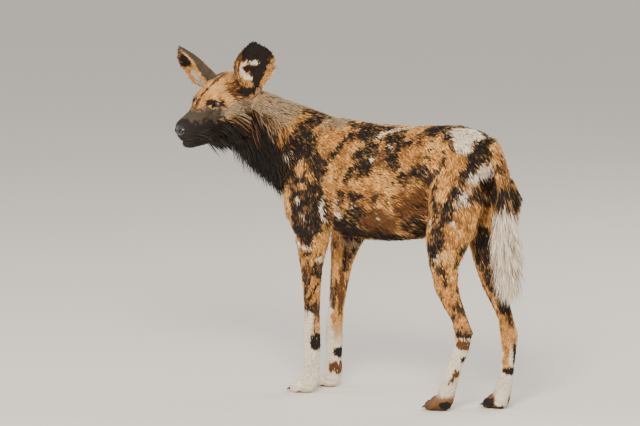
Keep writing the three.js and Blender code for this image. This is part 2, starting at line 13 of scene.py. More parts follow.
import bpy
import numpy as np
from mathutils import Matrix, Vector
from mathutils.bvhtree import BVHTree


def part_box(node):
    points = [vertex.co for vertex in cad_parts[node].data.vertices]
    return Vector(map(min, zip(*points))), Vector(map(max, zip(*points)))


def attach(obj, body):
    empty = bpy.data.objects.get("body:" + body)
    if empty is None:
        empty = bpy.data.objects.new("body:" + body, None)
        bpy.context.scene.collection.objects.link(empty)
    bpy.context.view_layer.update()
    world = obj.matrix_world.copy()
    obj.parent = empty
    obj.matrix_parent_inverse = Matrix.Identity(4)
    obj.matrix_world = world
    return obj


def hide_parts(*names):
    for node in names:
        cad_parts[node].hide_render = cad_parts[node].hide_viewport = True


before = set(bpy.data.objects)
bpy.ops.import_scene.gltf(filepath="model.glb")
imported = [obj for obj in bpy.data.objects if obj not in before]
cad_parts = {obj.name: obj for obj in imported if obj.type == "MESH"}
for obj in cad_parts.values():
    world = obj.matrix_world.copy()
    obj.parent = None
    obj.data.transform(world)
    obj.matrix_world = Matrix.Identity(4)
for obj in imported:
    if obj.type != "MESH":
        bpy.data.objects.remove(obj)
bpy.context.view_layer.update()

logging.basicConfig(level=logging.INFO, format="%(message)s")
LOG = logging.getLogger("wild_dog")
SEED = 11
Array = np.ndarray
Pixel = tuple[float, float]
Span = tuple[float, float]
Place = tuple[float, float, float]
Colour = tuple[float, float, float, float]


def unit(v: Array) -> Array:
    """Scales vectors to length one."""
    return v / np.maximum(np.linalg.norm(v, axis=-1, keepdims=True), 1e-9)


def smooth(x: Array) -> Array:
    """Eases a value from 0 to 1."""
    x = np.clip(x, 0.0, 1.0)
    return x * x * (3.0 - 2.0 * x)


def value_noise(p: Array, scale: float, seed: int) -> Array:
    """Repeatable noise that drifts over a length.

    Args:
        p: Points, (n, 3).
        scale: Size of a drift, in metres.
        seed: Number of the pattern.

    Returns:
        Values from -1 to 1, (n,).
    """
    q = p / scale + 100.0
    cell = np.floor(q).astype(np.int64)
    f = q - cell
    f = f * f * (3 - 2 * f)
    total = np.zeros(len(p))
    for corner in range(8):
        step = np.array([corner & 1, (corner >> 1) & 1, corner >> 2])
        c = cell + step
        h = (c[:, 0] * 73856093) ^ (c[:, 1] * 19349663) ^ (c[:, 2] * 83492791) ^ (seed * 2654435)
        h = (h * 1103515245 + 12345) & 0x7FFFFFFF
        h = ((h >> 7) * 69069 + 1) & 0x7FFFFFFF
        weight = np.prod(np.where(step, f, 1 - f), axis=1)
        total += weight * (h / 0x3FFFFFFF - 1.0)
    return total


@dataclass(frozen=True)
class HeadFrame:
    """The head's own frame: +X out of the nose, +Y to the dog's left, +Z out of the crown."""

    origin: Place = (-0.302, -0.072, 0.717)
    yaw: float = 88.0
    pitch: float = 14.0

    @property
    def turn(self) -> Array:
        """The rotation from the head's frame to the dog's, (3, 3)."""
        a, b = math.radians(180 + self.yaw), math.radians(self.pitch)
        about_z = np.array([[math.cos(a), -math.sin(a), 0], [math.sin(a), math.cos(a), 0], [0, 0, 1]])
        about_y = np.array([[math.cos(b), 0, math.sin(b)], [0, 1, 0], [-math.sin(b), 0, math.cos(b)]])
        return about_z @ about_y

    def point(self, mm: Array) -> Array:
        """Carries points from the head's frame to the dog's."""
        return np.asarray(mm, float) / 1000 @ self.turn.T + np.array(self.origin)

    def way(self, v: Array) -> Array:
        """Carries a direction from the head's frame to the dog's."""
        return unit(np.asarray(v, float) @ self.turn.T)

    def local(self, p: Array) -> Array:
        """Carries points back to the head's frame."""
        return (p - np.array(self.origin)) @ self.turn * 1000


HEAD = HeadFrame()
EYE_PLACE = (81.0, 37.0, 12.0)
EYE_RADIUS = 0.0105
EYE_TURN = 36.0
LOW, HIGH = (np.array(v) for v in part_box("eye_left"))
SHIFT = (LOW + HIGH) / 2 - HEAD.point(EYE_PLACE)


class Tone(Enum):
    """The coat's colours: TAN is where no other one is, and DUSK is mostly black over grey."""

    TAN = -1
    BLACK = 0
    WHITE = 1
    BROWN = 2
    GREY = 3
    DUSK = 4


TAN, BLACK, WHITE, BROWN, GREY, DUSK = Tone


@dataclass(frozen=True)
class Hair:
    """The hair of a stretch: sizes in metres, density in tufts per square metre, lift in degrees.

    "inset" is the depth that the coat takes of the solid, and "smoothing" how far the skin is rounded.
    """

    length: float
    width: float
    density: float
    inset: float
    lift: float
    smoothing: float = 1.0


@dataclass(frozen=True)
class Bone:
    """A stretch of the body that the coat's lie, hair and ground colour follow."""

    name: str
    group: str
    start: Place
    end: Place
    radius: float
    lie: Place
    hair: Hair
    ground: Colour


GOLD, DARK, PALE, DIM, ASH = (0, 0, 0, 0), (1, 0, 0, 0), (0, 1, 0, 0), (0, 0, 1, 0), (0, 0, 0, 1)
TRUNK_HAIR = Hair(0.017, 0.0030, 9.6e4, 0.0035, 13)
NECK_HAIR = Hair(0.028, 0.0032, 9.0e4, 0.005, 13)
NAPE_HAIR = replace(NECK_HAIR, length=0.030)
THIGH_HAIR = replace(TRUNK_HAIR, width=0.0029)
ARM_HAIR = Hair(0.014, 0.0028, 1.0e5, 0.003, 12)
FOREARM_HAIR = Hair(0.010, 0.0022, 1.35e5, 0.002, 11, 0.6)
SHIN_HAIR = Hair(0.011, 0.0023, 1.3e5, 0.002, 11, 0.6)
SHANK_HAIR = Hair(0.008, 0.0019, 1.5e5, 0.0016, 14, 0.5)
PAW_HAIR = Hair(0.006, 0.0016, 1.7e5, 0.001, 14, 0.22)
TAIL_ROOT_HAIR = Hair(0.024, 0.0028, 1.2e5, 0.001, 20, 0.3)
TAIL_BAND_HAIR = replace(TAIL_ROOT_HAIR, length=0.034, lift=22)
TAIL_END_HAIR = replace(TAIL_ROOT_HAIR, length=0.045, inset=0.0, lift=24)
SKULL_HAIR = Hair(0.0085, 0.0019, 1.6e5, 0.002, 15, 0.16)
MUZZLE_HAIR = Hair(0.0045, 0.0013, 2.1e5, 0.001, 13, 0.10)
JAW_HAIR = Hair(0.008, 0.0018, 1.6e5, 0.0015, 16, 0.10)
EAR_HAIR = Hair(0.0075, 0.0017, 1.25e5, 0.0002, 13, 0.12)


def trunk_bones() -> list[Bone]:
    """Lists the stretches of trunk, neck and tail.

    Returns:
        The bones.
    """
    back, rump_way = (1.0, 0.0, -0.28), (0.75, 0, -0.65)
    mid_neck, bend, plume_top = (-0.20, -0.01, 0.645), (0.529, 0, 0.57), (0.536, 0, 0.50)
    return [
        Bone("chest", "torso_a", (-0.12, 0, 0.57), (0.06, 0, 0.55), 0.13, (1, 0, -0.4), TRUNK_HAIR, GOLD),
        Bone("ribs", "torso_b", (0.06, 0, 0.55), (0.24, 0, 0.56), 0.13, back, TRUNK_HAIR, GOLD),
        Bone("loin", "torso_c", (0.24, 0, 0.57), (0.36, 0, 0.60), 0.12, back, TRUNK_HAIR, GOLD),
        Bone("rump", "torso_c", (0.36, 0, 0.60), (0.47, 0, 0.59), 0.11, rump_way, TRUNK_HAIR, GOLD),
        Bone("neck", "neck", mid_neck, (-0.12, 0, 0.61), 0.10, (0.9, 0.08, -0.42), NECK_HAIR, ASH),
        Bone("nape", "neck", (-0.285, -0.05, 0.69), mid_neck, 0.075, (0.75, 0.4, -0.5), NAPE_HAIR, ASH),
        Bone("tail_root", "tail", (0.48, 0, 0.645), bend, 0.018, (0.45, 0, -0.9), TAIL_ROOT_HAIR, GOLD),
        Bone("tail_band", "tail", bend, plume_top, 0.016, (0.05, 0, -1), TAIL_BAND_HAIR, DARK),
        Bone("tail_end", "tail", plume_top, (0.549, 0, 0.345), 0.012, (0.08, 0, -1), TAIL_END_HAIR, PALE),
    ]


def paw_bone(name: str, group: str, x: float, y: float, ground: Colour) -> Bone:
    """A paw, from its pad to its toes."""
    return Bone(name, group, (x, y, 0.025), (x - 0.055, y, 0.014), 0.024, (-1, 0, -0.35), PAW_HAIR, ground)


def leg_bones() -> list[Bone]:
    """Lists the stretches of the legs.

    Returns:
        The bones.
    """
    out = []
    fore = {"left": (-1, -0.036, -0.043, 0.066), "right": (1, -0.046, -0.070, 0.064)}
    for name, (side, elbow_x, wrist_x, foot_y) in fore.items():
        group, y = f"fore_{name}", side * (foot_y - 0.010)
        shoulder, elbow = (-0.05, side * 0.06, 0.55), (elbow_x, side * 0.068, 0.41)
        wrist, ankle = (wrist_x, y, 0.15), (wrist_x - 0.004, y, 0.045)
        out += [
            Bone(f"arm_{name}", group, shoulder, elbow, 0.07, (0.35, 0, -1), ARM_HAIR, GOLD),
            Bone(f"forearm_{name}", group, elbow, wrist, 0.027, (0.12, 0, -1), FOREARM_HAIR, GOLD),
            Bone(f"pastern_{name}", group, wrist, ankle, 0.022, (-0.05, 0, -1), SHANK_HAIR, PALE),
            paw_bone(f"paw_front_{name}", group, wrist_x, y, PALE),
        ]
    hind = {
        "left": (-1, [(0.42, 0.57), (0.409, 0.39), (0.459, 0.195), (0.405, 0.045)]),
        "right": (1, [(0.44, 0.57), (0.425, 0.39), (0.500, 0.180), (0.482, 0.045)]),
    }
    for name, (side, path) in hind.items():
        group = f"hind_{name}"
        hip, knee, hock, foot = [(x, y * side, z) for (x, z), y in zip(path, (0.055, 0.068, 0.060, 0.060))]
        shin = tuple(b - a for a, b in zip(knee, hock))
        shank = tuple(b - a for a, b in zip(hock, foot))
        out += [
            Bone(f"thigh_{name}", group, hip, knee, 0.08, (0.3, 0, -1), THIGH_HAIR, GOLD),
            Bone(f"shin_{name}", group, knee, hock, 0.03, shin, SHIN_HAIR, GOLD),
            Bone(f"shank_{name}", group, hock, foot, 0.02, shank, SHANK_HAIR, PALE),
            paw_bone(f"paw_hind_{name}", group, foot[0], foot[1], DIM),
        ]
    return out


@dataclass(frozen=True)
class Ear:
    """An ear's sheet in the head's frame: root, rise and opening, and how far it curls into a cup."""

    root: Place
    rise: Place
    open: Place
    curl: float
    length: float = 125.0
    half_width: float = 68.0

    def spot(self, across: float, along: float, lift: float = 0.0) -> Place:
        """A place on the sheet.

        Args:
            across: From -1 to 1, edge to edge.
            along: From 0 at the root to 1 at the tip.
            lift: Millimetres off the sheet, out of the cup.

        Returns:
            The place in the head's frame, in millimetres.
        """
        up = unit(np.array(self.rise, float))
        out = np.array(self.open, float)
        out = unit(out - up * (out @ up))
        low = float(smooth(np.array(along / 0.42)))
        high = math.sqrt(max(0.0004, 1 - max(0.0, (along - 0.46) / 0.545) ** 2))
        half = self.half_width * (0.8 + 0.2 * low) * high
        wrap = self.curl * (2.1 - 1.2 * float(smooth(np.array(along / 0.7))))
        radius, turn = half / wrap, across * wrap
        back = -14 * math.sin(along * math.pi * 0.5) * (1 - along)
        centre = np.array(self.root) + up * along * self.length + out * (radius + back - 20)
        away = -out * math.cos(turn) + np.cross(up, out) * math.sin(turn)
        return tuple(centre + away * (radius + lift))


EARS = {
    "left": Ear((-12, 60, 20), (0, 0.4, 0.92), (0.34, 0.93, 0.05), 1.0),
    "right": Ear((-4, -60, 28), (0.33, -0.65, 0.76), (0.83, -0.55, 0.12), 1.12),
}


def head_bones() -> list[Bone]:
    """Lists the stretches of the head and ears.

    Returns:
        The bones.
    """
    skull = [tuple(HEAD.point(p)) for p in ((66, 0, -12), (-45, 0, 6))]
    muzzle = [tuple(HEAD.point(p)) for p in ((180, 0, -34), (78, 0, -26))]
    jaw = [tuple(HEAD.point(p)) for p in ((165, 0, -66), (20, 0, -62))]
    back = tuple(HEAD.way((-1, 0, -0.12)))
    cheek = tuple(HEAD.way((-1, 0, -0.55)))
    out = [
        Bone("skull", "head", *skull, 0.060, back, SKULL_HAIR, GOLD),
        Bone("muzzle", "head", *muzzle, 0.034, back, MUZZLE_HAIR, DARK),
        Bone("jaw", "head", *jaw, 0.028, cheek, JAW_HAIR, DARK),
    ]
    for name, ear in EARS.items():
        base, rise = HEAD.point(ear.root), HEAD.way(ear.rise)
        tip = base + rise * ear.length / 1000
        out.append(Bone(f"ear_{name}", "ears", tuple(base), tuple(tip), 0.040, tuple(rise), EAR_HAIR, GOLD))
    return out


BONES = trunk_bones() + leg_bones() + head_bones()


@dataclass(frozen=True)
class Zone:
    """A place where the coat is longer than its bone says, and droops."""

    name: str
    centre: Place
    radii: Place
    length: float
    droop: float


ZONES = [
    Zone("belly", (0.22, 0, 0.40), (0.24, 0.10, 0.07), 0.024, 0.25),
    Zone("flank_left", (0.29, -0.08, 0.47), (0.09, 0.05, 0.10), 0.026, 0.1),
    Zone("flank_right", (0.29, 0.08, 0.47), (0.09, 0.05, 0.10), 0.026, 0.1),
    Zone("buttocks", (0.50, 0, 0.52), (0.05, 0.11, 0.12), 0.026, 0.2),
    Zone("brisket", (-0.14, 0, 0.50), (0.08, 0.09, 0.10), 0.026, 0.3),
    Zone("cheek_left", tuple(HEAD.point((5, 62, -40))), (0.05, 0.05, 0.045), 0.013, 0.15),
    Zone("cheek_right", tuple(HEAD.point((5, -62, -40))), (0.05, 0.05, 0.045), 0.013, 0.15),
    Zone("throat", (-0.27, -0.06, 0.63), (0.09, 0.10, 0.06), 0.040, 0.5),
    Zone("withers", (-0.10, 0, 0.68), (0.10, 0.05, 0.04), 0.024, 0.0),
]


@dataclass(frozen=True)
class Field:
    """What the coat does at a set of points."""

    lie: Array
    length: Array
    width: Array
    density: Array
    inset: Array
    lift: Array
    droop: Array
    ground: Array
    smoothing: Array
    bone: Array
    along: Array


def field_at(p: Array) -> Field:
    """Blends the bones' facts at points on the skin.

    Args:
        p: Points in the dog's frame, (n, 3).

    Returns:
        The blended facts.
    """
    near = np.empty((len(BONES), len(p)))
    along = np.empty_like(near)
    for i, bone in enumerate(BONES):
        a, b = np.array(bone.start), np.array(bone.end)
        t = np.clip((p - a) @ (b - a) / ((b - a) @ (b - a)), 0, 1)
        near[i] = np.linalg.norm(p - a - t[:, None] * (b - a), axis=1) / bone.radius
        along[i] = t
    w = 1 / (near**6 + 0.02)
    w /= w.sum(0)
    best = near.argmin(0)

    def blend(values: list) -> Array:
        """Weighs one fact of every bone."""
        return np.tensordot(w, np.array(values, float), axes=(0, 0))

    hair = {fact.name: blend([getattr(b.hair, fact.name) for b in BONES]) for fact in fields(Hair)}
    droop = np.zeros(len(p))
    for zone in ZONES:
        q = np.linalg.norm((p - np.array(zone.centre)) / np.array(zone.radii), axis=1)
        m = smooth((1.25 - q) / 0.6)
        hair["length"] = np.maximum(hair["length"], hair["length"] * (1 - m) + zone.length * m)
        droop = np.maximum(droop, zone.droop * m)
    return Field(
        lie=blend([unit(np.array(b.lie, float)) for b in BONES]),
        droop=droop,
        ground=blend([b.ground for b in BONES]),
        bone=best,
        along=along[best, np.arange(len(p))],
        **hair,
    )


@dataclass(frozen=True)
class Patch:
    """An oval marking: its middle, its half sizes and the tilt of its long side in the XZ plane."""

    name: str
    tone: Tone
    centre: Place
    radii: Place
    tilt: float = 0.0
    on_head: bool = False
    strength: float = 1.0

    def reach(self, p: Array) -> Array:
        """How far points are from the middle, with 1 at the edge.

        Args:
            p: Points in the dog's frame.

        Returns:
            The share for each point.
        """
        if self.on_head:
            q = (HEAD.local(p) - np.array(self.centre)) / np.array(self.radii)
            return np.linalg.norm(q, axis=1)
        a = math.radians(self.tilt)
        d = p - np.array(self.centre)
        long = d[:, 0] * math.cos(a) + d[:, 2] * math.sin(a)
        short = -d[:, 0] * math.sin(a) + d[:, 2] * math.cos(a)
        return np.linalg.norm(np.stack([long, d[:, 1], short], axis=1) / np.array(self.radii), axis=1)


@dataclass(frozen=True)
class Stroke:
    """A marking of even width along a line of points."""

    name: str
    tone: Tone
    points: tuple[Place, ...]
    radius: float
    on_head: bool = False
    strength: float = 1.0

    def reach(self, p: Array) -> Array:
        """How far points are from the line, with 1 at the edge.

        Args:
            p: Points in the dog's frame.

        Returns:
            The share for each point.
        """
        if self.on_head:
            p = HEAD.local(p)
        best = np.full(len(p), 1e9)
        for a, b in zip(self.points[:-1], self.points[1:]):
            a, b = np.array(a, float), np.array(b, float)
            t = np.clip((p - a) @ (b - a) / ((b - a) @ (b - a)), 0, 1)
            best = np.minimum(best, np.linalg.norm(p - a - t[:, None] * (b - a), axis=1))
        return best / self.radius


@dataclass(frozen=True)
class PhotoView:
    """The photo's view of the dog: 640 by 426 pixels, with the dog's origin at "origin"."""

    azimuth: float = 43.0
    elevation: float = 6.5
    scale: float = 405.0
    origin: tuple[float, float] = (340.0, 392.1)
    size: tuple[int, int] = (640, 426)

    @property
    def axes(self) -> Array:
        """Rows: right in the photo, up in it and back to the camera, in the dog's frame."""
        a, e = math.radians(self.azimuth), math.radians(self.elevation)
        right = (math.cos(a), math.sin(a), 0)
        up = (-math.sin(a) * math.sin(e), math.cos(a) * math.sin(e), math.cos(e))
        back = (math.sin(a) * math.cos(e), -math.cos(a) * math.cos(e), math.sin(e))
        return np.array((right, up, back))


VIEW = PhotoView()


@lru_cache
def surface(nodes: tuple[str, ...]) -> BVHTree:
    """Gathers solids into one surface for rays, in the dog's frame.

    Args:
        nodes: The solids' names.

    Returns:
        The surface.
    """
    points, faces = [], []
    for name in nodes:
        mesh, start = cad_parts[name].data, len(points)
        points += [v.co - Vector(SHIFT) for v in mesh.vertices]
        faces += [[start + i for i in face.vertices] for face in mesh.polygons]
    return BVHTree.FromPolygons(points, faces)


@dataclass(frozen=True)
class Sight:
    """Solids seen in the photo, which takes marks given there onto them.

    Places are pixels of the photo, and sizes are real ones in millimetres. A place past the outline lies
    on the upright plane y = "plane". "depth" is half the reach of an oval across the body, in metres.
    """

    nodes: tuple[str, ...]
    plane: float
    depth: float = 0.03

    def place(self, pick: Pixel) -> Place:
        """Carries a place in the photo onto the solids.

        Args:
            pick: The pixel.

        Returns:
            The place in the dog's frame.
        """
        right, up, back = VIEW.axes
        flat = (right * (pick[0] - VIEW.origin[0]) + up * (VIEW.origin[1] - pick[1])) / VIEW.scale
        hit = surface(self.nodes).ray_cast(Vector(flat + back * 3), Vector(-back))[0]
        return tuple(hit) if hit else tuple(flat + back * (self.plane - flat[1]) / back[1])

    def oval(
        self, name: str, tone: Tone, pick: Pixel, size: Span, tilt: float = 0, strength: float = 1
    ) -> Patch:
        """Makes an oval marking at a place, with its half sizes along and across its tilt.

        Args:
            name: The marking's name.
            tone: Its colour.
            pick: The pixel of its middle.
            size: Its half sizes in millimetres, along and across.
            tilt: Degrees from level.
            strength: How fully it covers, 0 to 1.

        Returns:
            The marking.
        """
        radii = (size[0] / 1000, self.depth, size[1] / 1000)
        return Patch(name, tone, self.place(pick), radii, tilt, strength=strength)

    def line(self, name: str, tone: Tone, picks: tuple, radius: float, strength: float = 1.0) -> Stroke:
        """Makes a marking of even width along places."""
        return Stroke(name, tone, tuple(self.place(p) for p in picks), radius / 1000, strength=strength)


TRUNK_SOLIDS = ("torso", "neck", "leg_front_left", "leg_hind_left")
BACK = Sight(TRUNK_SOLIDS, -0.015, 0.05)
SIDE = Sight(TRUNK_SOLIDS, -0.09, 0.05)
THROAT = Sight(("neck", "torso", "head"), -0.05, 0.05)
FORE_NEAR, FORE_FAR = Sight(("leg_front_left",), -0.07), Sight(("leg_front_right",), 0.06)
HIND_NEAR, HIND_FAR = Sight(("leg_hind_left",), -0.06), Sight(("leg_hind_right",), 0.06)
SIDE_MARKS = [
    BACK.line(
        "dorsal line", BLACK, ((308.6, 109.6), (323, 114.5), (339, 119), (362, 125.5), (387, 129)), 11.9
    ),
    BACK.line("rib dark streak one", BLACK, ((356, 165.5), (345.5, 175.5), (341, 192.5)), 7.8, 0.9),
    BACK.line("rib dark streak two", BLACK, ((371, 171), (360.5, 182.5)), 7.3, 0.85),
    BACK.line("rib dark streak three", BLACK, ((398, 173.5), (388, 189)), 6.4, 0.8),
    BACK.line("rib dark streak four", BLACK, ((380, 172), (374, 180.5)), 5.5, 0.8),
    BACK.line("rib dark low", BLACK, ((335.5, 188), (339, 202)), 6.9, 0.85),
    BACK.oval("loin mottle fore", BLACK, (355, 152), (20, 36), 35, 0.88),
    BACK.oval("flank mottle", BLACK, (412, 172), (32, 15), 25, 0.8),
    BACK.line("hip dark high", BLACK, ((435.5, 139.5), (430, 152)), 6, 0.85),
    BACK.line("hip dark low", BLACK, ((449, 152), (451.5, 148.5)), 7.3, 0.85),
    BACK.line("dorsal rear", BLACK, ((387, 128), (408.5, 126.4), (430, 127.5)), 5.5, 0.8),
    SIDE.line("withers band", BLACK, ((310.5, 113), (306, 122), (298, 133.5), (288, 144), (278, 154)), 28.4),
    SIDE.oval("shoulder", BLACK, (302, 155), (82, 57), 4),
    SIDE.oval("shoulder front", BLACK, (282, 166.5), (59, 54), 5),
    SIDE.oval("upper arm", BLACK, (306.5, 204), (46, 82), -2),
    SIDE.oval("arm mottle", BLACK, (308.5, 180.5), (44, 27), 4),
    SIDE.oval("shoulder olive", TAN, (302, 165), (17, 17), 4, 0.62),
    SIDE.oval("shoulder olive low", TAN, (312, 179), (8, 12), -17, 0.62),
    SIDE.oval("arm spot high", TAN, (310.5, 175.5), (10, 11), 3, 0.8),
    SIDE.oval("arm spot low", TAN, (300, 185.5), (14, 9), 4, 0.8),
    SIDE.oval("blade tan", TAN, (332, 138), (49, 29), 22),
    SIDE.oval("blade tan low", TAN, (322.5, 149.5), (22, 24), 40),
    SIDE.oval("withers olive", GREY, (333.5, 122), (43, 12), -7, 0.7),
    SIDE.line(
        "shoulder band", BLACK, ((357.5, 133.5), (342.5, 143), (331, 155.5), (322, 170), (316.5, 184.5)), 9.2
    ),
    SIDE.line("gold stroke", TAN, ((359.5, 142), (346, 155), (335.5, 169)), 16.5),
    SIDE.oval("loin mottle top", BLACK, (367.5, 133.5), (37, 19), -5, 0.95),
    SIDE.oval("loin mottle", BLACK, (369.5, 150.5), (34, 24), 31, 0.8),
    SIDE.oval("loin mottle low", BLACK, (360.5, 167.5), (34, 22), 28, 0.85),
    SIDE.oval("loin mottle right", BLACK, (386, 158.5), (21, 28), 21, 0.75),
    SIDE.oval("rib brown", BROWN, (378, 156.5), (18, 22), 4, 0.5),
    SIDE.oval("rib white dot", WHITE, (369.5, 160), (6, 10), 4),
    SIDE.line("back white", WHITE, ((376.5, 137.5), (386, 132), (399.5, 129), (412, 128)), 7.3),
    SIDE.line("back white low", WHITE, ((387.5, 146.5), (390, 154)), 3.7, 0.7),
    SIDE.oval("saddle black", BLACK, (393, 139), (34, 15), -15),
    SIDE.oval("saddle low", BLACK, (399, 147), (17, 13), 33, 0.7),
    SIDE.oval("loin gold", TAN, (413, 133), (24, 20), 24),
    SIDE.oval("croup black", BLACK, (431, 132), (29, 18), 18),
    SIDE.oval("croup hook", BLACK, (441.5, 138), (18, 20), 4),
    SIDE.line("loin band", BLACK, ((407, 145), (415.5, 138), (424.5, 134)), 6, 0.9),
    SIDE.oval("flank gold", TAN, (410.5, 156.5), (44, 19), 25),
    SIDE.oval("flank gold high", TAN, (422, 145.5), (18, 15), 36),
    SIDE.oval("hip gold high", TAN, (434, 143.5), (15, 13), 4),
    SIDE.line("hip band", BLACK, ((425.5, 149.5), (424.5, 158.5), (422, 166.5), (426.5, 179)), 6.9, 0.85),
    SIDE.line("hip band two", BLACK, ((439.5, 151), (438, 163), (441.5, 173.5)), 5.5, 0.85),
    SIDE.oval("hip gold mid", TAN, (432.5, 162), (11, 21), 4),
    SIDE.oval("hip gold rear", TAN, (448, 164), (19, 23), 4),
    SIDE.oval("hip gold low", TAN, (441.5, 180), (11, 15), 4),
    SIDE.oval("rump white", WHITE, (460.5, 137.5), (45, 25), -16),
    SIDE.oval("rump white low", WHITE, (456.5, 149.5), (32, 16), -29),
    SIDE.oval("rump edge black", BLACK, (477.5, 131.5), (24, 9), -15),
    SIDE.oval("tail root dark", BLACK, (476.5, 147), (14, 25), -2, 0.9),
    SIDE.oval("tail root dark low", BLACK, (480.5, 159.5), (13, 14), -3),
    SIDE.oval("thigh spot one", BLACK, (466, 162.5), (14, 19)),
    SIDE.oval("thigh spot two", BLACK, (460.5, 177), (13, 26), 2),
    SIDE.oval("thigh spot three", BLACK, (449, 193), (12, 15), 4),
    SIDE.oval("thigh spot four", BLACK, (442.5, 210.5), (19, 23), -5, 0.85),
    SIDE.oval("thigh spot five", BLACK, (450, 218), (13, 11), 2, 0.9),
    SIDE.oval("buttock cream", WHITE, (476.5, 176), (14, 36), -38),
    SIDE.oval("buttock pale", WHITE, (458, 200.5), (16, 30), 13, 0.7),
    SIDE.oval("under tail", BLACK, (487, 184.5), (22, 35), 83),
    SIDE.oval("scrotum", BLACK, (474, 196), (22, 19), -5),
    SIDE.oval("thigh tan", TAN, (463, 224.5), (36, 56), -16),
    SIDE.oval("thigh front mottle", BLACK, (431, 202), (11, 44), 8, 0.85),
    SIDE.oval("thigh front gold", TAN, (435, 192.5), (9, 27), 8),
    SIDE.line("thigh streak one", BLACK, ((435.5, 202), (439, 223.5), (435.5, 248.5)), 6.4, 0.85),
    SIDE.line("thigh streak two", BLACK, ((452.5, 170), (455, 184.5)), 5.5, 0.8),
    SIDE.line("thigh streak three", BLACK, ((427.5, 184.5), (431, 195)), 5.5, 0.85),
    SIDE.line("thigh back streak", BLACK, ((474, 220), (462, 243), (455, 255.5)), 5.5, 0.75),
    SIDE.oval("thigh front dark", BLACK, (433.5, 236), (24, 27), 4, 0.85),
    SIDE.oval("thigh white dot", WHITE, (427.5, 221.5), (9, 6), 5),
    SIDE.oval("thigh pale dot", WHITE, (449, 221.5), (7, 6), 2, 0.8),
    SIDE.line("stifle front", BLACK, ((426, 236), (425, 250.5), (429, 270)), 6.4),
    SIDE.oval("flank brown", BROWN, (409.5, 206.5), (63, 48), 20),
    SIDE.oval("flank brown dark", BLACK, (415, 228), (31, 30), 3, 0.75),
    SIDE.line("flank streak one", BLACK, ((422, 200.5), (407.5, 209.5), (398, 223.5)), 3.7, 0.75),
    SIDE.line("flank streak two", BLACK, ((416.5, 195), (403, 204), (392.5, 218)), 3.2, 0.6),
    SIDE.line("flank gold streak", TAN, ((407, 192.5), (392.5, 202), (381, 211)), 6, 0.7),
    SIDE.oval("brisket brown", BROWN, (369.5, 220), (84, 49), -10),
    SIDE.oval("brisket dark one", BLACK, (355, 212), (37, 15), 5, 0.8),
    SIDE.oval("brisket dark two", BLACK, (349.5, 227), (39, 29), 5, 0.85),
    SIDE.oval("belly dark", BLACK, (380, 235), (59, 21), -2, 0.75),
    SIDE.line("brisket cream", WHITE, ((374, 215), (381, 224)), 5.5),
    SIDE.oval("brisket gold", TAN, (362, 204.5), (27, 8), -3, 0.8),
    SIDE.oval("belly gold", TAN, (366.5, 186), (75, 19), 8),
    SIDE.oval("belly gold dark", BLACK, (352.5, 198), (27, 11), 5, 0.8),
    SIDE.oval("rib gold low", TAN, (326.5, 184.5), (27, 28), -9, 0.85),
    SIDE.oval("sternum dark", BLACK, (340, 229), (26, 34), -2, 0.95),
    SIDE.line("elbow cream", WHITE, ((332, 200.5), (336.5, 219)), 7.8, 0.95),
    SIDE.line("elbow cream two", WHITE, ((345.5, 202), (350, 209)), 4.6, 0.8),
    SIDE.line("elbow shadow", BLACK, ((326, 195), (328.5, 209.5), (330, 230.5)), 7.8),
    SIDE.line("behind arm pale", WHITE, ((318.5, 197), (322, 211), (324.5, 220)), 6, 0.65),
    SIDE.line(
        "arm front edge", BLACK, ((284.5, 179), (291.5, 198.5), (294.5, 218), (298, 232.5)), 13.7, 0.95
    ),
    SIDE.line("arm tan stripe", TAN, ((286, 186.5), (288, 200.5), (289.5, 216.5)), 11),
    SIDE.line("arm front dark", BLACK, ((280, 189.5), (282, 205.5), (285, 218)), 4.1),
    SIDE.line("arm white streak", WHITE, ((296, 199.5), (299.5, 209.5), (302, 218)), 6),
    SIDE.line("chest cream", WHITE, ((280, 182.5), (279.5, 188)), 4.6),
    SIDE.oval("point of shoulder tan", TAN, (278, 165), (14, 12), 5),
    SIDE.oval("shoulder white dot", WHITE, (291, 153), (6, 10), 5),
    SIDE.oval("lower arm dark", BLACK, (308.5, 238), (17, 26), 3, 0.9),
    SIDE.oval("lower arm front dark", BLACK, (298, 224.5), (21, 17), 5, 0.85),
    SIDE.oval("lower arm back dark", BLACK, (317.5, 230.5), (13, 17), 2, 0.85),
    SIDE.oval("lower arm tan", TAN, (324, 243), (20, 40), -23, 0.85),
    SIDE.line("lower arm white", WHITE, ((295, 236), (299, 247)), 6.9),
]
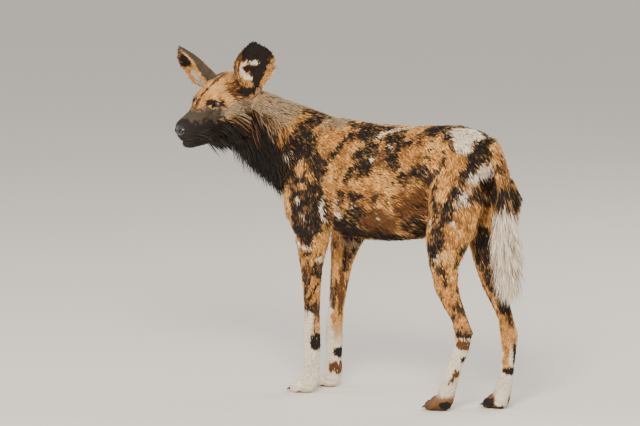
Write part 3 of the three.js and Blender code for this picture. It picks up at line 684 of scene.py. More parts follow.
LEG_MARKS = [
    FORE_NEAR.line(
        "forearm ring front",
        BLACK,
        ((310.5, 252), (301, 256), (299, 267), (305, 283), (304, 297.5), (310, 310.5)),
        4.7,
    ),
    FORE_NEAR.line("forearm ring back", BLACK, ((316.5, 254.5), (312.5, 273), (306.5, 286.5)), 4.7),
    FORE_NEAR.line("forearm diagonal", BLACK, ((318.5, 283.5), (311, 292.5), (305.5, 300)), 3.7),
    FORE_NEAR.oval("forearm back dark", BLACK, (319.5, 269.5), (13, 22), -6),
    FORE_NEAR.line("forearm back brown", BROWN, ((322, 275.5), (321.5, 300), (318.5, 321.5)), 4.3, 0.8),
    FORE_NEAR.line("elbow pale", WHITE, ((327, 255.5), (318.5, 260)), 6.8, 0.75),
    FORE_NEAR.line("elbow fold", BLACK, ((331, 246.5), (323.5, 251.5), (317.5, 254)), 3.1),
    FORE_NEAR.line("forearm front white", WHITE, ((295, 237.5), (299, 244), (310, 249)), 5.6),
    FORE_NEAR.line("wrist line", BLACK, ((315, 318), (315, 329.5)), 3.1),
    FORE_NEAR.line("near wrist white", WHITE, ((306.5, 316), (306.5, 336), (306.5, 360.5)), 18),
    FORE_NEAR.oval("near wrist black", BLACK, (316, 341), (9, 21), -2),
    FORE_FAR.line("far elbow black", BLACK, ((353.5, 240), (347.5, 255), (345, 270.5)), 13),
    FORE_FAR.oval("far elbow olive", GREY, (347.5, 243.5), (16, 11), 2, 0.8),
    FORE_FAR.line("far foreleg stripes", BROWN, ((341.5, 269.5), (341.5, 290), (341.5, 312)), 9.3, 0.75),
    FORE_FAR.line("far foreleg pale", WHITE, ((329.5, 275.5), (328, 312), (330.5, 348.5)), 12.4, 0.8),
    FORE_FAR.oval("far foreleg dot one", BLACK, (329, 273), (4, 8), 4),
    FORE_FAR.oval("far foreleg dot two", BLACK, (329, 284.5), (4, 7), 4),
    FORE_FAR.oval("far wrist black", BLACK, (343.5, 352), (11, 12), 4),
    FORE_FAR.oval("far fetlock brown", BROWN, (335.5, 367), (11, 15), 0, 0.8),
    HIND_NEAR.line("stifle black", BLACK, ((424.5, 240), (425.5, 252.5), (428.5, 267.5)), 4.1),
    HIND_NEAR.oval("stifle mottle", BLACK, (429, 248.5), (15, 24), -1, 0.75),
    HIND_NEAR.oval("stifle pale", WHITE, (435.5, 256.5), (11, 7), 4, 0.75),
    HIND_NEAR.oval("stifle dots", BLACK, (440, 275), (4, 25), 8, 0.55),
    HIND_NEAR.line("shin back dark", BLACK, ((454.5, 250), (454.5, 272.5), (455, 289.5)), 4.1, 0.9),
    # Painted shadow: the dark line down the near shin stands for shade, not for a marking of the coat.
    HIND_NEAR.line("shin line", BLACK, ((451, 306), (450, 319.5)), 3.2, 0.75),
    HIND_NEAR.line("near shank white", WHITE, ((456, 351), (450, 368), (443.5, 386.5)), 17.9),
    HIND_NEAR.oval("hock brown", BROWN, (458.5, 343), (19, 14), -8),
    HIND_NEAR.oval("hock dark front", BLACK, (455, 332), (9, 11), 3, 0.9),
    HIND_NEAR.oval("hock point black", BLACK, (468, 334), (11, 15), 22),
    HIND_NEAR.oval("hock pale", WHITE, (459.5, 337.5), (9, 3), -1, 0.75),
    HIND_NEAR.line("near shank brown", BROWN, ((453.5, 372), (448.5, 379)), 7.7, 0.5),
    HIND_NEAR.oval("shank edge", BLACK, (460, 358), (4, 7), -12, 0.8),
    HIND_NEAR.oval("near paw dark", BLACK, (428, 394.5), (24, 9), 19, 0.85),
    HIND_NEAR.oval("near heel black", BLACK, (444, 401), (14, 11), -2),
    HIND_FAR.line("far thigh black", BLACK, ((476.5, 232.5), (480, 256)), 23.6),
    HIND_FAR.line("far shin dark", BLACK, ((486, 272.5), (492, 289.5), (499.5, 306)), 14.7),
    HIND_FAR.line("far shin gold", TAN, ((474, 265.5), (482.5, 286), (493.5, 312)), 6.1),
    HIND_FAR.line("far hock brown", BLACK, ((502.5, 306), (506, 324.5)), 7.7, 0.75),
    HIND_FAR.line("far hock gold", TAN, ((499, 319.5), (501, 349.5), (501, 364.5)), 8.9),
    HIND_FAR.line("far shank cream", WHITE, ((500.5, 378), (499.5, 399)), 19.1),
    HIND_FAR.line("far shank black", BLACK, ((510.5, 343), (510, 360.5)), 6.7),
    HIND_FAR.oval("far fetlock black", BLACK, (505.5, 368.5), (14, 9)),
    HIND_FAR.oval("far paw dark", BLACK, (485, 399), (16, 11), 3, 0.85),
    HIND_FAR.oval("far sole black", BLACK, (499.5, 407), (33, 9), 4),
]
NECK_MARKS = [
    Patch("throat", BLACK, (-0.235, -0.035, 0.578), (0.110, 0.12, 0.080), 20),
    Patch("chest front", BLACK, (-0.165, 0, 0.54), (0.05, 0.09, 0.06), 0),
    THROAT.line(
        "throat side", BLACK, ((223.5, 133), (237, 133.5), (251, 136.5), (259.5, 148), (265, 164.5)), 33
    ),
    THROAT.line("throat chestnut", BROWN, ((245, 121.5), (256.5, 125), (265, 133)), 6.5, 0.7),
    THROAT.line("collar gold", TAN, ((304, 113.5), (292, 126), (284, 138)), 11.7),
    THROAT.line("neck streak one", BROWN, ((269, 99), (278.5, 113.5), (282.5, 124.5)), 2.7, 0.5),
    THROAT.line("neck streak two", BROWN, ((278.5, 100.5), (285, 113.5)), 2.1, 0.5),
    Stroke(
        "collar gold right",
        TAN,
        ((-0.096, 0.035, 0.687), (-0.118, 0.065, 0.645), (-0.13, 0.07, 0.615)),
        0.014,
    ),
]


def head_oval(name: str, tone: Tone, centre: Place, radii: Place, strength: float = 1.0) -> Patch:
    """An oval marking in the head's frame, in millimetres."""
    return Patch(name, tone, centre, radii, 0, True, strength)


def head_line(name: str, tone: Tone, points: tuple, radius: float, strength: float = 1.0) -> Stroke:
    """A marking of even width in the head's frame, in millimetres."""
    return Stroke(name, tone, points, radius, True, strength)


def ear_oval(side: str, name: str, tone: Tone, spot: tuple, radii: Place, strength: float = 1.0) -> Patch:
    """An oval marking at a spot of an ear's sheet."""
    return head_oval(f"ear {name} {side}", tone, EARS[side].spot(*spot), radii, strength)


def ear_line(side: str, name: str, tone: Tone, spots: tuple, radius: float, strength: float = 1.0) -> Stroke:
    """A marking of even width along spots of an ear's sheet."""
    return head_line(f"ear {name} {side}", tone, tuple(EARS[side].spot(*s) for s in spots), radius, strength)


def face_marks() -> list[Patch | Stroke]:
    """Lays out the face's marks, the same on both sides.

    Returns:
        The marks.
    """
    made = []
    for side in (1, -1):
        rim = ((100, 24 * side, 20), (90, 36 * side, 15), (68, 44 * side, 14))
        made += [
            head_oval("cheek ash", GREY, (30, 64 * side, -22), (52, 26, 24), 0.75),
            head_oval("under eye ash", GREY, (96, 42 * side, -14), (40, 24, 22), 0.85),
            head_oval("under eye", DUSK, (100, 40 * side, -18), (38, 22, 20), 0.74),
            head_oval("under eye pale", GREY, (76, 50 * side, -14), (8, 12, 6), 0.6),
            # The dusky grey along the bridge's sides is partly the muzzle's own brown-grey and partly painted
            # sheen.
            head_line("bridge side", DUSK, ((112, 27 * side, -8), (150, 20 * side, -10)), 19, 0.9),
            head_oval("muzzle side", BLACK, (142, 32 * side, -44), (50, 26, 28), 0.90),
            head_line("eye corner", BLACK, rim, 7.5),
            head_line("eye", BLACK, ((94, 34 * side, 14), (80, 40 * side, 10), (70, 46 * side, 8)), 9.0),
            head_oval("cheek", BLACK, (40, 54 * side, -66), (84, 38, 33)),
            head_oval("cheek chestnut", BROWN, (2, 64 * side, -46), (24, 24, 9), 0.75),
        ]
    return made


HEAD_MARKS = [
    # The dusky grey on the bridge is partly the muzzle's own brown-grey and partly painted sheen of light on
    # its top.
    head_oval("bridge", DUSK, (156, 0, -4), (42, 30, 24), 0.93),
    head_oval("muzzle end", BLACK, (186, 0, -34), (26, 44, 36)),
    head_oval("throat", BLACK, (10, 0, -86), (105, 62, 42)),
    *face_marks(),
    head_line("brow line", BROWN, ((130, -3, 8), (109, -6, 20), (84, -8, 36), (56, -8, 48)), 5.6),
    head_line("brow line dark", BLACK, ((112, -6, 19), (84, -8, 36), (64, -8, 46)), 3.4, 0.75),
    head_line("brow line back", BROWN, ((56, -8, 48), (30, -5, 57), (2, 0, 62)), 5.0, 0.8),
    ear_line("left", "back front", DUSK, ((-0.55, 0.40, 24), (-0.55, 0.5, 24), (-0.55, 0.85, 24)), 25, 0.95),
    ear_line("left", "back middle", DUSK, ((0, 0.40, 24), (0, 0.5, 24), (0, 0.85, 24)), 25, 0.95),
    ear_line("left", "back rear", DUSK, ((0.55, 0.40, 24), (0.55, 0.5, 24), (0.55, 0.85, 24)), 25, 0.95),
    ear_line(
        "left", "band", BROWN, ((-0.9, 0.16, 6), (-0.85, 0.4, 6), (-0.8, 0.65, 6), (-0.6, 0.86)), 29, 0.88
    ),
    ear_line("left", "gold", TAN, ((-0.8, 0.2), (-0.75, 0.6)), 8, 0.35),
    ear_oval("left", "heart", BLACK, (0.35, 0.84), (46, 46, 40)),
    # Painted shadow: the black in the near ear's hollow stands for the shade of the ear canal, over the ear's
    # dark inner skin.
    ear_line("left", "hollow", BLACK, ((0.3, 0.08), (0.42, 0.35), (0.5, 0.6)), 17),
    ear_line("left", "hollow middle", BLACK, ((-0.15, 0.38), (0.3, 0.36)), 9),
    ear_line("left", "high cream", WHITE, ((-0.34, 0.5, -5), (0.0, 0.53, -5), (0.28, 0.5, -5)), 7, 0.62),
    ear_line("left", "cream", WHITE, ((-0.36, 0.36, -5), (-0.2, 0.24, -5), (0.1, 0.14, -5)), 8, 0.64),
    ear_line("left", "margin", TAN, ((0.98, 0.14), (1.02, 0.44)), 10, 0.85),
    head_line("ear base left", BLACK, ((16, 66, 22), (-4, 74, 16), (-24, 72, 14)), 13, 0.85),
    ear_oval("right", "tip", DUSK, (-0.1, 0.9), (40, 40, 42), 0.85),
    ear_oval("right", "brown tip", BROWN, (-0.4, 0.84, -6), (30, 30, 36), 0.9),
    ear_oval("right", "dark tip", BLACK, (-0.5, 0.76), (18, 18, 22), 0.85),
    ear_line("right", "cream", WHITE, ((-0.75, 0.1, -6), (-0.7, 0.5, -6)), 8.5, 0.9),
    ear_line("right", "low cream", WHITE, ((-0.3, 0.08, -6), (-0.35, 0.4, -6)), 8.5, 0.9),
    ear_line("right", "back", DUSK, ((0.55, 0.1, 16), (0.6, 0.5, 16), (0.5, 0.85, 16)), 27, 0.95),
]
TAIL_MARKS = [
    Patch("tail band", BLACK, (0.535, 0, 0.520), (0.06, 0.06, 0.032), 0),
    Patch("tail plume", WHITE, (0.54, 0, 0.38), (0.08, 0.08, 0.112), 0),
]


def far_side(marks: list, rng: np.random.Generator) -> list:
    """Draws the markings of the right side, which differ from the left's on every wild dog.

    Args:
        marks: The left side's markings.
        rng: The source of chance.

    Returns:
        The right side's markings.
    """
    out = []
    for mark in marks:
        dx, dz = rng.normal(0, 0.022), rng.normal(0, 0.014)
        grow = rng.uniform(0.8, 1.25)
        tone = mark.tone
        if rng.random() < 0.15:
            tone = [TAN, BLACK, WHITE][int(rng.integers(3))]
        if isinstance(mark, Patch):
            x, y, z = mark.centre
            radii = tuple(r * grow for r in mark.radii)
            tilt = mark.tilt + rng.normal(0, 15)
            out.append(Patch(mark.name + " right", tone, (x + dx, -y, z + dz), radii, tilt))
        else:
            points = tuple((x + dx, -y, z + dz) for x, y, z in mark.points)
            out.append(Stroke(mark.name + " right", tone, points, mark.radius * grow))
    return out


BACK_DOWN = (0.93, 0.0, -0.37)
FORWARD_DOWN = (-0.62, 0.0, -0.78)


class Markings:
    """The coat's pattern with some painted shade and sheen, the same for skin and tufts.

    Marks whose middle is left of "flank" are drawn again on the right side. A mark's edge lies at "edge"
    or "black_edge" times its size and fades over "fade" of it. "ragged" frays it, and "holes" does so
    more the weaker it is. "dusk" is the share of black in DUSK.
    """

    flank = -0.0218
    edge, black_edge, fade = 1.10, 1.24, 0.24
    ragged, holes = 0.15, 1.9
    dusk = 0.82

    def __init__(self) -> None:
        """Lays out the marks from the ground up."""
        rng = np.random.default_rng(SEED)
        sided = [m for m in SIDE_MARKS if (m.centre if isinstance(m, Patch) else m.points[0])[1] < self.flank]
        self.marks = far_side(sided, rng) + SIDE_MARKS + NECK_MARKS + LEG_MARKS + TAIL_MARKS + HEAD_MARKS

    def drift(self, p: Array, scale: float, seed: int, trunk_way: Place = BACK_DOWN) -> Array:
        """Noise drawn out along the lie of the coat, back on the trunk and down on the legs.

        Args:
            p: Points in the dog's frame.
            scale: Width of a drift, in metres.
            seed: Number of the pattern.
            trunk_way: The way it is drawn out on the trunk.

        Returns:
            Values from -1 to 1.
        """
        on_leg = smooth((0.44 - p[:, 2]) / 0.08)
        drawn = []
        for way in (trunk_way, (0.05, 0.0, -1.0)):
            way = np.array(way)
            drawn.append(value_noise(p - 0.66 * (p @ way)[:, None] * way, scale, seed))
        return drawn[0] * (1 - on_leg) + drawn[1] * on_leg

    def weights(self, p: Array, ground: Array) -> Array:
        """Works out how much of each colour is at points.

        Args:
            p: Points in the dog's frame.
            ground: The colour shares under the marks, (n, 4).

        Returns:
            Shares of black, white, brown and grey; the rest is tan.
        """
        wide = np.stack([self.drift(p, 0.026, s) for s in (1, 2, 3)], axis=1)
        fine = np.stack([self.drift(p, 0.0065, s) for s in (4, 5, 6)], axis=1)
        local = np.linalg.norm(p - HEAD.point((40, 0, 0)), axis=1)
        calm = np.where(local < 0.2, 0.32, 1.0 - 0.5 * smooth((0.42 - p[:, 2]) / 0.08))[:, None]
        q = p + calm * (0.009 * wide + 0.006 * fine)
        ragged = self.drift(p, 0.0042, 10) + 0.5 * self.drift(p, 0.010, 13)
        w = np.clip(ground, 0, 1).copy()
        mottle = self.drift(p, 0.017, 7, FORWARD_DOWN) + 0.6 * self.drift(p, 0.008, 8, FORWARD_DOWN)
        trunk = smooth((p[:, 0] + 0.14) / 0.05) * smooth((p[:, 2] - 0.16) / 0.05)
        dark = smooth((mottle - 0.14) / 0.20) * 0.94 * trunk
        w *= 1 - dark[:, None]
        w[:, 0] += dark
        for mark in self.marks:
            edge = self.black_edge if mark.tone is BLACK else self.edge
            frayed = (self.ragged + self.holes * (1 - mark.strength)) * ragged
            cover = smooth((edge - mark.reach(q) + frayed) / self.fade)
            w *= 1 - cover[:, None]
            if mark.tone is DUSK:
                w[:, GREY.value] += cover
                w[:, BLACK.value] += self.dusk * cover
            elif mark.tone is not TAN:
                w[:, mark.tone.value] += cover
        for tone, seed, most in ((BLACK, 9, 0.55), (BROWN, 11, 0.45)):
            fleck = smooth((self.drift(p, 0.0048, seed) - 0.36) / 0.2) * most * trunk
            w *= 1 - fleck[:, None]
            w[:, tone.value] += fleck
        tick = smooth((self.drift(p, 0.0045, 12) - 0.44) / 0.2) * 0.35 * trunk * w[:, 0]
        w[:, 0] -= tick
        return w


MARKINGS = Markings()


def mesh_object(name: str, points: Array, tris: Array, facts: dict | None = None) -> bpy.types.Object:
    """Makes a mesh object of triangles at the origin.

    Args:
        name: The piece's name.
        points: Vertices in the dog's frame.
        tris: Vertex numbers of each triangle.
        facts: Per-vertex attributes: (n,) values or (n, 4) colours.

    Returns:
        The object, linked to the scene.
    """
    mesh = bpy.data.meshes.new(name)
    mesh.vertices.add(len(points))
    mesh.vertices.foreach_set("co", (points + SHIFT).astype(np.float32).ravel())
    mesh.loops.add(len(tris) * 3)
    mesh.loops.foreach_set("vertex_index", tris.astype(np.int32).ravel())
    mesh.polygons.add(len(tris))
    mesh.polygons.foreach_set("loop_start", np.arange(len(tris), dtype=np.int32) * 3)
    mesh.update(calc_edges=True)
    mesh.validate()
    set_facts(mesh, facts or {})
    made = bpy.data.objects.new(name, mesh)
    bpy.context.collection.objects.link(made)
    return made


def set_facts(mesh: bpy.types.Mesh, facts: dict[str, Array]) -> None:
    """Stores per-vertex attributes on a mesh.

    Args:
        mesh: The mesh.
        facts: (n,) values or (n, 4) colours by name.
    """
    for key, values in facts.items():
        kind, slot = ("FLOAT", "value") if values.ndim == 1 else ("FLOAT_COLOR", "color")
        layer = mesh.attributes.new(key, kind, "POINT")
        layer.data.foreach_set(slot, values.astype(np.float32).ravel())


def points_of(made: bpy.types.Object) -> Array:
    """Reads a mesh's vertices.

    Args:
        made: A mesh object at the origin.

    Returns:
        The vertices in the dog's frame, (n, 3).
    """
    flat = np.empty(len(made.data.vertices) * 3)
    made.data.vertices.foreach_get("co", flat)
    return flat.reshape(-1, 3) - SHIFT


def normals_of(made: bpy.types.Object) -> Array:
    """Reads a mesh's vertex normals.

    Args:
        made: A mesh object.

    Returns:
        Unit normals, (n, 3).
    """
    flat = np.empty(len(made.data.vertices) * 3)
    made.data.vertices.foreach_get("normal", flat)
    return flat.reshape(-1, 3)


def set_points(made: bpy.types.Object, points: Array) -> None:
    """Writes a mesh's vertices."""
    made.data.vertices.foreach_set("co", (points + SHIFT).astype(np.float32).ravel())
    made.data.update()


def only(made: bpy.types.Object) -> None:
    """Selects one object and makes it active.

    Args:
        made: The object.
    """
    bpy.ops.object.select_all(action="DESELECT")
    made.select_set(True)
    bpy.context.view_layer.objects.active = made


def apply(made: bpy.types.Object, kind: str, **settings: object) -> None:
    """Adds a modifier to an object and applies it.

    Args:
        made: The object.
        kind: The modifier's type.
        settings: Its properties.
    """
    only(made)
    modifier = made.modifiers.new(kind.lower(), kind)
    for key, value in settings.items():
        setattr(modifier, key, value)
    bpy.ops.object.modifier_apply(modifier=modifier.name)


def join(parts: list[bpy.types.Object], name: str) -> bpy.types.Object:
    """Joins pieces into the first of them.

    Args:
        parts: The pieces.
        name: The name of the whole.

    Returns:
        The whole.
    """
    only(parts[0])
    for part in parts:
        part.select_set(True)
    bpy.ops.object.join()
    parts[0].name = parts[0].data.name = name
    return parts[0]


def solid_copy(node: str, name: str) -> bpy.types.Object:
    """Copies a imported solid.

    Args:
        node: The solid's name.
        name: The copy's name.

    Returns:
        The copy.
    """
    made = bpy.data.objects.new(name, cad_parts[node].data.copy())
    bpy.context.collection.objects.link(made)
    return made


def spline(stations: Array, steps: int) -> Array:
    """Follows stations with a Catmull-Rom curve.

    Args:
        stations: Rows of numbers, (n, k).
        steps: Points for each span.

    Returns:
        Rows along the curve.
    """
    s = np.vstack([2 * stations[0] - stations[1], stations, 2 * stations[-1] - stations[-2]])
    rows = []
    for i in range(1, len(s) - 2):
        for t in np.arange(steps) / steps:
            a, b, c, d = s[i - 1 : i + 3]
            square, cube = 2 * a - 5 * b + 4 * c - d, 3 * b - a - 3 * c + d
            rows.append(0.5 * (2 * b + (c - a) * t + square * t**2 + cube * t**3))
    return np.array(rows + [stations[-1]])


def loft(
    name: str, stations: list, facing: Place, sides: int = 28, power: float = 2.0
) -> bpy.types.Object:
    """Makes a closed tube of oval rings.

    Args:
        name: The piece's name.
        stations: Rows of x, y, z, side, front and back reach, in millimetres.
        facing: The way that "front" points.
        sides: Points in a ring.
        power: 2 for an oval ring, more for a squarer one.

    Returns:
        The tube.
    """
    rows = spline(np.array(stations, float) / 1000, 5)
    centre, reach = rows[:, :3], rows[:, 3:]
    along = unit(np.gradient(centre, axis=0))
    front = np.array(facing) - along * (along @ np.array(facing))[:, None]
    front = unit(front)
    side = np.cross(front, along)
    turn = np.arange(sides) / sides * 2 * math.pi
    fore, wide = (np.sign(v) * np.abs(v) ** (2 / power) for v in (np.cos(turn), np.sin(turn)))
    depth = fore[None] * np.where(fore > 0, reach[:, 1:2], reach[:, 2:3])
    width = wide[None] * reach[:, 0:1]
    ring = centre[:, None] + front[:, None] * depth[..., None] + side[:, None] * width[..., None]
    count = len(rows)
    points = np.vstack([ring.reshape(-1, 3), centre[:1], centre[-1:]])
    tris = []
    for i in range(count - 1):
        for k in range(sides):
            a, b = i * sides + k, i * sides + (k + 1) % sides
            tris += [(a, b, b + sides), (a, b + sides, a + sides)]
    first, last = count * sides, count * sides + 1
    for k in range(sides):
        a, b = k, (k + 1) % sides
        tris += [(first, b, a), (last, a + (count - 1) * sides, b + (count - 1) * sides)]
    return mesh_object(name, points, np.array(tris))


NECK = [
    (-20, 0, 575, 56, 92, 115),
    (-85, 0, 596, 70, 94, 124),
    (-150, -3, 626, 65, 80, 112),
    (-208, -8, 650, 59.5, 68, 96),
    (-254, -22, 674, 54.6, 60, 82),
    (-282, -44, 690, 50.4, 54, 68),
    (-292, -70, 698, 46, 44, 52),
]
TAIL = [
    (455, 0, 640, 24, 24, 24),
    (475, 0, 645, 22, 22, 22),
    (496, 0, 640, 20.8, 20.8, 20.8),
    (516, 0, 612, 17, 17, 17),
    (529, 0, 570, 14, 14, 14),
    (536, 0, 510, 12, 12, 12),
    (540, 0, 450, 10, 10, 10),
    (545, 0, 390, 7.5, 7.5, 7.5),
    (549, 0, 340, 4, 4, 4),
]
FACE = [
    (-66, 2, 26, 22, 26),
    (-55, 3, 45, 40, 42),
    (-28, 4, 61, 56, 60),
    (4, 2, 67, 60, 68),
    (34, -4, 68, 57, 71),
    (60, -9, 61, 52, 69),
    (81, -13, 51, 47, 62),
    (98, -19, 42, 41, 51),
    (122, -25, 36, 35, 43),
    (148, -29, 32.5, 32, 38),
    (170, -31, 29, 28, 33),
    (182, -33, 23, 20, 25),
    (188, -34, 14, 12, 15),
]
JAW = [
    (10, -44, 46, 20, 30),
    (44, -56, 42, 18, 25),
    (80, -62, 34, 18, 21),
    (115, -65, 28, 18, 19),
    (148, -65, 24, 17, 16),
    (168, -64, 19, 15, 13),
    (178, -62, 11, 11, 8),
]
ROUND_FORMS = {
    "brow": ((64, 30, 22), (28, 16, 12)),
    "ear_root": ((-8, 50, 22), (27, 21, 25)),
    "lids": (EYE_PLACE, (12.8, 12.8, 12.8)),
}
LEGS = ("leg_front_left", "leg_front_right", "leg_hind_left", "leg_hind_right")
FLESH = ("torso", *LEGS, "ear_left", "ear_right")
LIP = [(86, 38, -49), (112, 33, -52), (142, 28.5, -53), (167, 22.5, -53), (181, 12, -52), (186, 0, -52)]


@dataclass(frozen=True)
class Swell:
    """A place where the form stands out, or sinks in where "amount" is negative.

    The amount is in metres. On the head the middle and sizes are in the head's frame, in millimetres.
    """

    name: str
    centre: Place
    radii: Place
    amount: float
    on_head: bool = False

    def at(self, p: Array, side: int) -> Array:
        """How far each point moves.

        Args:
            p: Points in the dog's frame.
            side: 1 or -1, the side of the body.

        Returns:
            The move along the normal, in metres.
        """
        q = HEAD.local(p) if self.on_head else p
        centre = np.array(self.centre) * (1, side, 1)
        share = np.linalg.norm((q - centre) / np.array(self.radii), axis=1)
        return self.amount * np.exp(-1.6 * share**2)


SWELLS = [
    Swell("flank hollow", (0.335, 0.09, 0.50), (0.05, 0.06, 0.07), -0.007),
    Swell("shoulder blade", (-0.050, 0.09, 0.60), (0.018, 0.05, 0.06), 0.004),
    Swell("behind shoulder", (0.040, 0.09, 0.52), (0.02, 0.05, 0.09), -0.005),
    Swell("last rib", (0.245, 0.09, 0.51), (0.03, 0.05, 0.09), 0.003),
    Swell("hip bone", (0.395, 0.06, 0.665), (0.028, 0.03, 0.02), 0.005),
    Swell("behind hip", (0.455, 0.08, 0.60), (0.025, 0.05, 0.04), -0.004),
    Swell("elbow", (0.010, 0.085, 0.395), (0.018, 0.03, 0.025), 0.004),
    Swell("brow", (70, 31, 28), (20, 13, 9), 0.0035, True),
    Swell("temple", (26, 50, 36), (26, 18, 18), -0.005, True),
    Swell("cheek bone", (44, 62, -16), (28, 16, 14), 0.003, True),
    Swell("under eye", (104, 33, -12), (18, 14, 14), -0.0045, True),
    Swell("stop", (104, 0, 16), (15, 10, 14), -0.003, True),
    Swell("crown furrow", (50, 0, 52), (40, 7, 16), -0.002, True),
    Swell("whisker pad", (166, 24, -36), (17, 12, 12), 0.002, True),
]


@dataclass(frozen=True)
class Skin:
    """The one skin that stands for all the flesh."""

    voxel: float = 0.0026
    keep: float = 0.42
    rounds: int = 26

    def build(self) -> bpy.types.Object:
        """Joins the flesh, makes one surface of it and models its folds.

        Returns:
            The skin.
        """
        parts = [loft("neck_form", NECK, (0, 0, 1)), loft("tail_form", TAIL, (-1, 0, 0))] + self.head_forms()
        skin = join(parts + [solid_copy(name, name + "_form") for name in FLESH], "skin")
        skin.data.materials.clear()
        apply(skin, "REMESH", mode="VOXEL", voxel_size=self.voxel, use_smooth_shade=True)
        LOG.info("skin: %d faces from the remesh", len(skin.data.polygons))
        self.relax(skin)
        self.thin(skin)
        self.refine(skin)
        self.sculpt(skin)
        LOG.info("skin: %d triangles", sum(len(f.vertices) - 2 for f in skin.data.polygons))
        return skin

    def head_forms(self) -> list[bpy.types.Object]:
        """Models the face, the jaw, the brows, the lids and the roots of the ears.

        Returns:
            The forms.
        """
        made = []
        for name, rows, sides in (("face_form", FACE, 48), ("jaw_form", JAW, 32)):
            stations = [(x, 0, z, wide, up, down) for x, z, wide, up, down in rows]
            form = loft(name, stations, (0, 0, 1), sides, 2.4)
            set_points(form, HEAD.point(points_of(form) * 1000))
            made.append(form)
        for name, (centre, radii) in ROUND_FORMS.items():
            for side in (1, -1):
                bpy.ops.object.select_all(action="DESELECT")
                bpy.ops.mesh.primitive_uv_sphere_add(segments=32, ring_count=20, radius=1)
                ball = bpy.context.object
                ball.name = f"{name}_form"
                local = (points_of(ball) + SHIFT) * np.array(radii) + np.array(centre) * (1, side, 1)
                set_points(ball, HEAD.point(local))
                made.append(ball)
        return made

    def relax(self, skin: bpy.types.Object) -> None:
        """Rounds the creases where the flesh was joined, least on the face, ears and paws.

        Args:
            skin: The skin.
        """
        p = points_of(skin)
        share = field_at(p).smoothing[:, None]
        edges = np.empty(len(skin.data.edges) * 2, dtype=np.int64)
        skin.data.edges.foreach_get("vertices", edges)
        a, b = edges.reshape(-1, 2).T
        count = np.maximum(np.bincount(a, minlength=len(p)) + np.bincount(b, minlength=len(p)), 1)[:, None]
        for _ in range(self.rounds):
            for step in (0.62, -0.60):
                sums = [np.bincount(a, p[b, k], len(p)) + np.bincount(b, p[a, k], len(p)) for k in range(3)]
                total = np.stack(sums, axis=1)
                p = p + step * share * (total / count - p)
        floor = p[:, 2] < 0.0
        p[floor, 2] = 0.0
        set_points(skin, p)

    def thin(self, skin: bpy.types.Object) -> None:
        """Drops triangles where the form is plain, and keeps them on the head and paws.

        Args:
            skin: The skin.
        """
        p = points_of(skin)
        fine = np.clip(1.15 - field_at(p).smoothing, 0, 1)
        group = skin.vertex_groups.new(name="plain")
        for level in range(11):
            picked = np.nonzero(np.round(fine * 10) == level)[0]
            group.add([int(i) for i in picked], 1 - level / 10, "REPLACE")
        apply(skin, "DECIMATE", ratio=self.keep, vertex_group="plain", use_collapse_triangulate=True)
        skin.vertex_groups.clear()

    def refine(self, skin: bpy.types.Object) -> None:
        """Splits the faces round the eyes, nose and mouth, for their small forms.

        Args:
            skin: The skin.
        """
        q = HEAD.local(points_of(skin))
        near = np.zeros(len(q), bool)
        for side in (1, -1):
            near |= np.linalg.norm(q - np.array(EYE_PLACE) * (1, side, 1), axis=1) < 21
            near |= Stroke("lip", BLACK, tuple((x, y * side, z) for x, y, z in LIP), 7).reach(q) < 1
        only(skin)
        skin.data.vertices.foreach_set("select", near)
        skin.data.edges.foreach_set("select", np.zeros(len(skin.data.edges), bool))
        verts = np.empty(len(skin.data.polygons) * 3, dtype=np.int64)
        skin.data.polygons.foreach_get("vertices", verts)
        skin.data.polygons.foreach_set("select", near[verts.reshape(-1, 3)].all(axis=1))
        bpy.ops.object.mode_set(mode="EDIT")
        bpy.ops.mesh.select_mode(type="FACE")
        bpy.ops.mesh.subdivide(number_cuts=1)
        bpy.ops.mesh.select_all(action="SELECT")
        bpy.ops.mesh.quads_convert_to_tris()
        bpy.ops.object.mode_set(mode="OBJECT")

    def sculpt(self, skin: bpy.types.Object) -> None:
        """Raises muscles and brows, sinks hollows, sets the lids and the mouth, and leaves room for the coat.

        Args:
            skin: The skin.
        """
        p, n = points_of(skin), normals_of(skin)
        move = np.zeros(len(p))
        for swell in SWELLS:
            for side in (1, -1):
                move += swell.at(p, side)
        for side in (1, -1):
            lip = Stroke("lip", BLACK, tuple((x, y * side, z) for x, y, z in LIP), 1)
            move -= 0.0012 * np.exp(-((lip.reach(HEAD.local(p)) / 2.4) ** 2))
        p = p + n * (move - field_at(p).inset)[:, None]
        for side in (1, -1):
            p = Eye(side).seat(p)
        p[:, 2] = np.maximum(p[:, 2], 0.0)
        set_points(skin, p)
        only(skin)
        bpy.ops.object.shade_smooth()


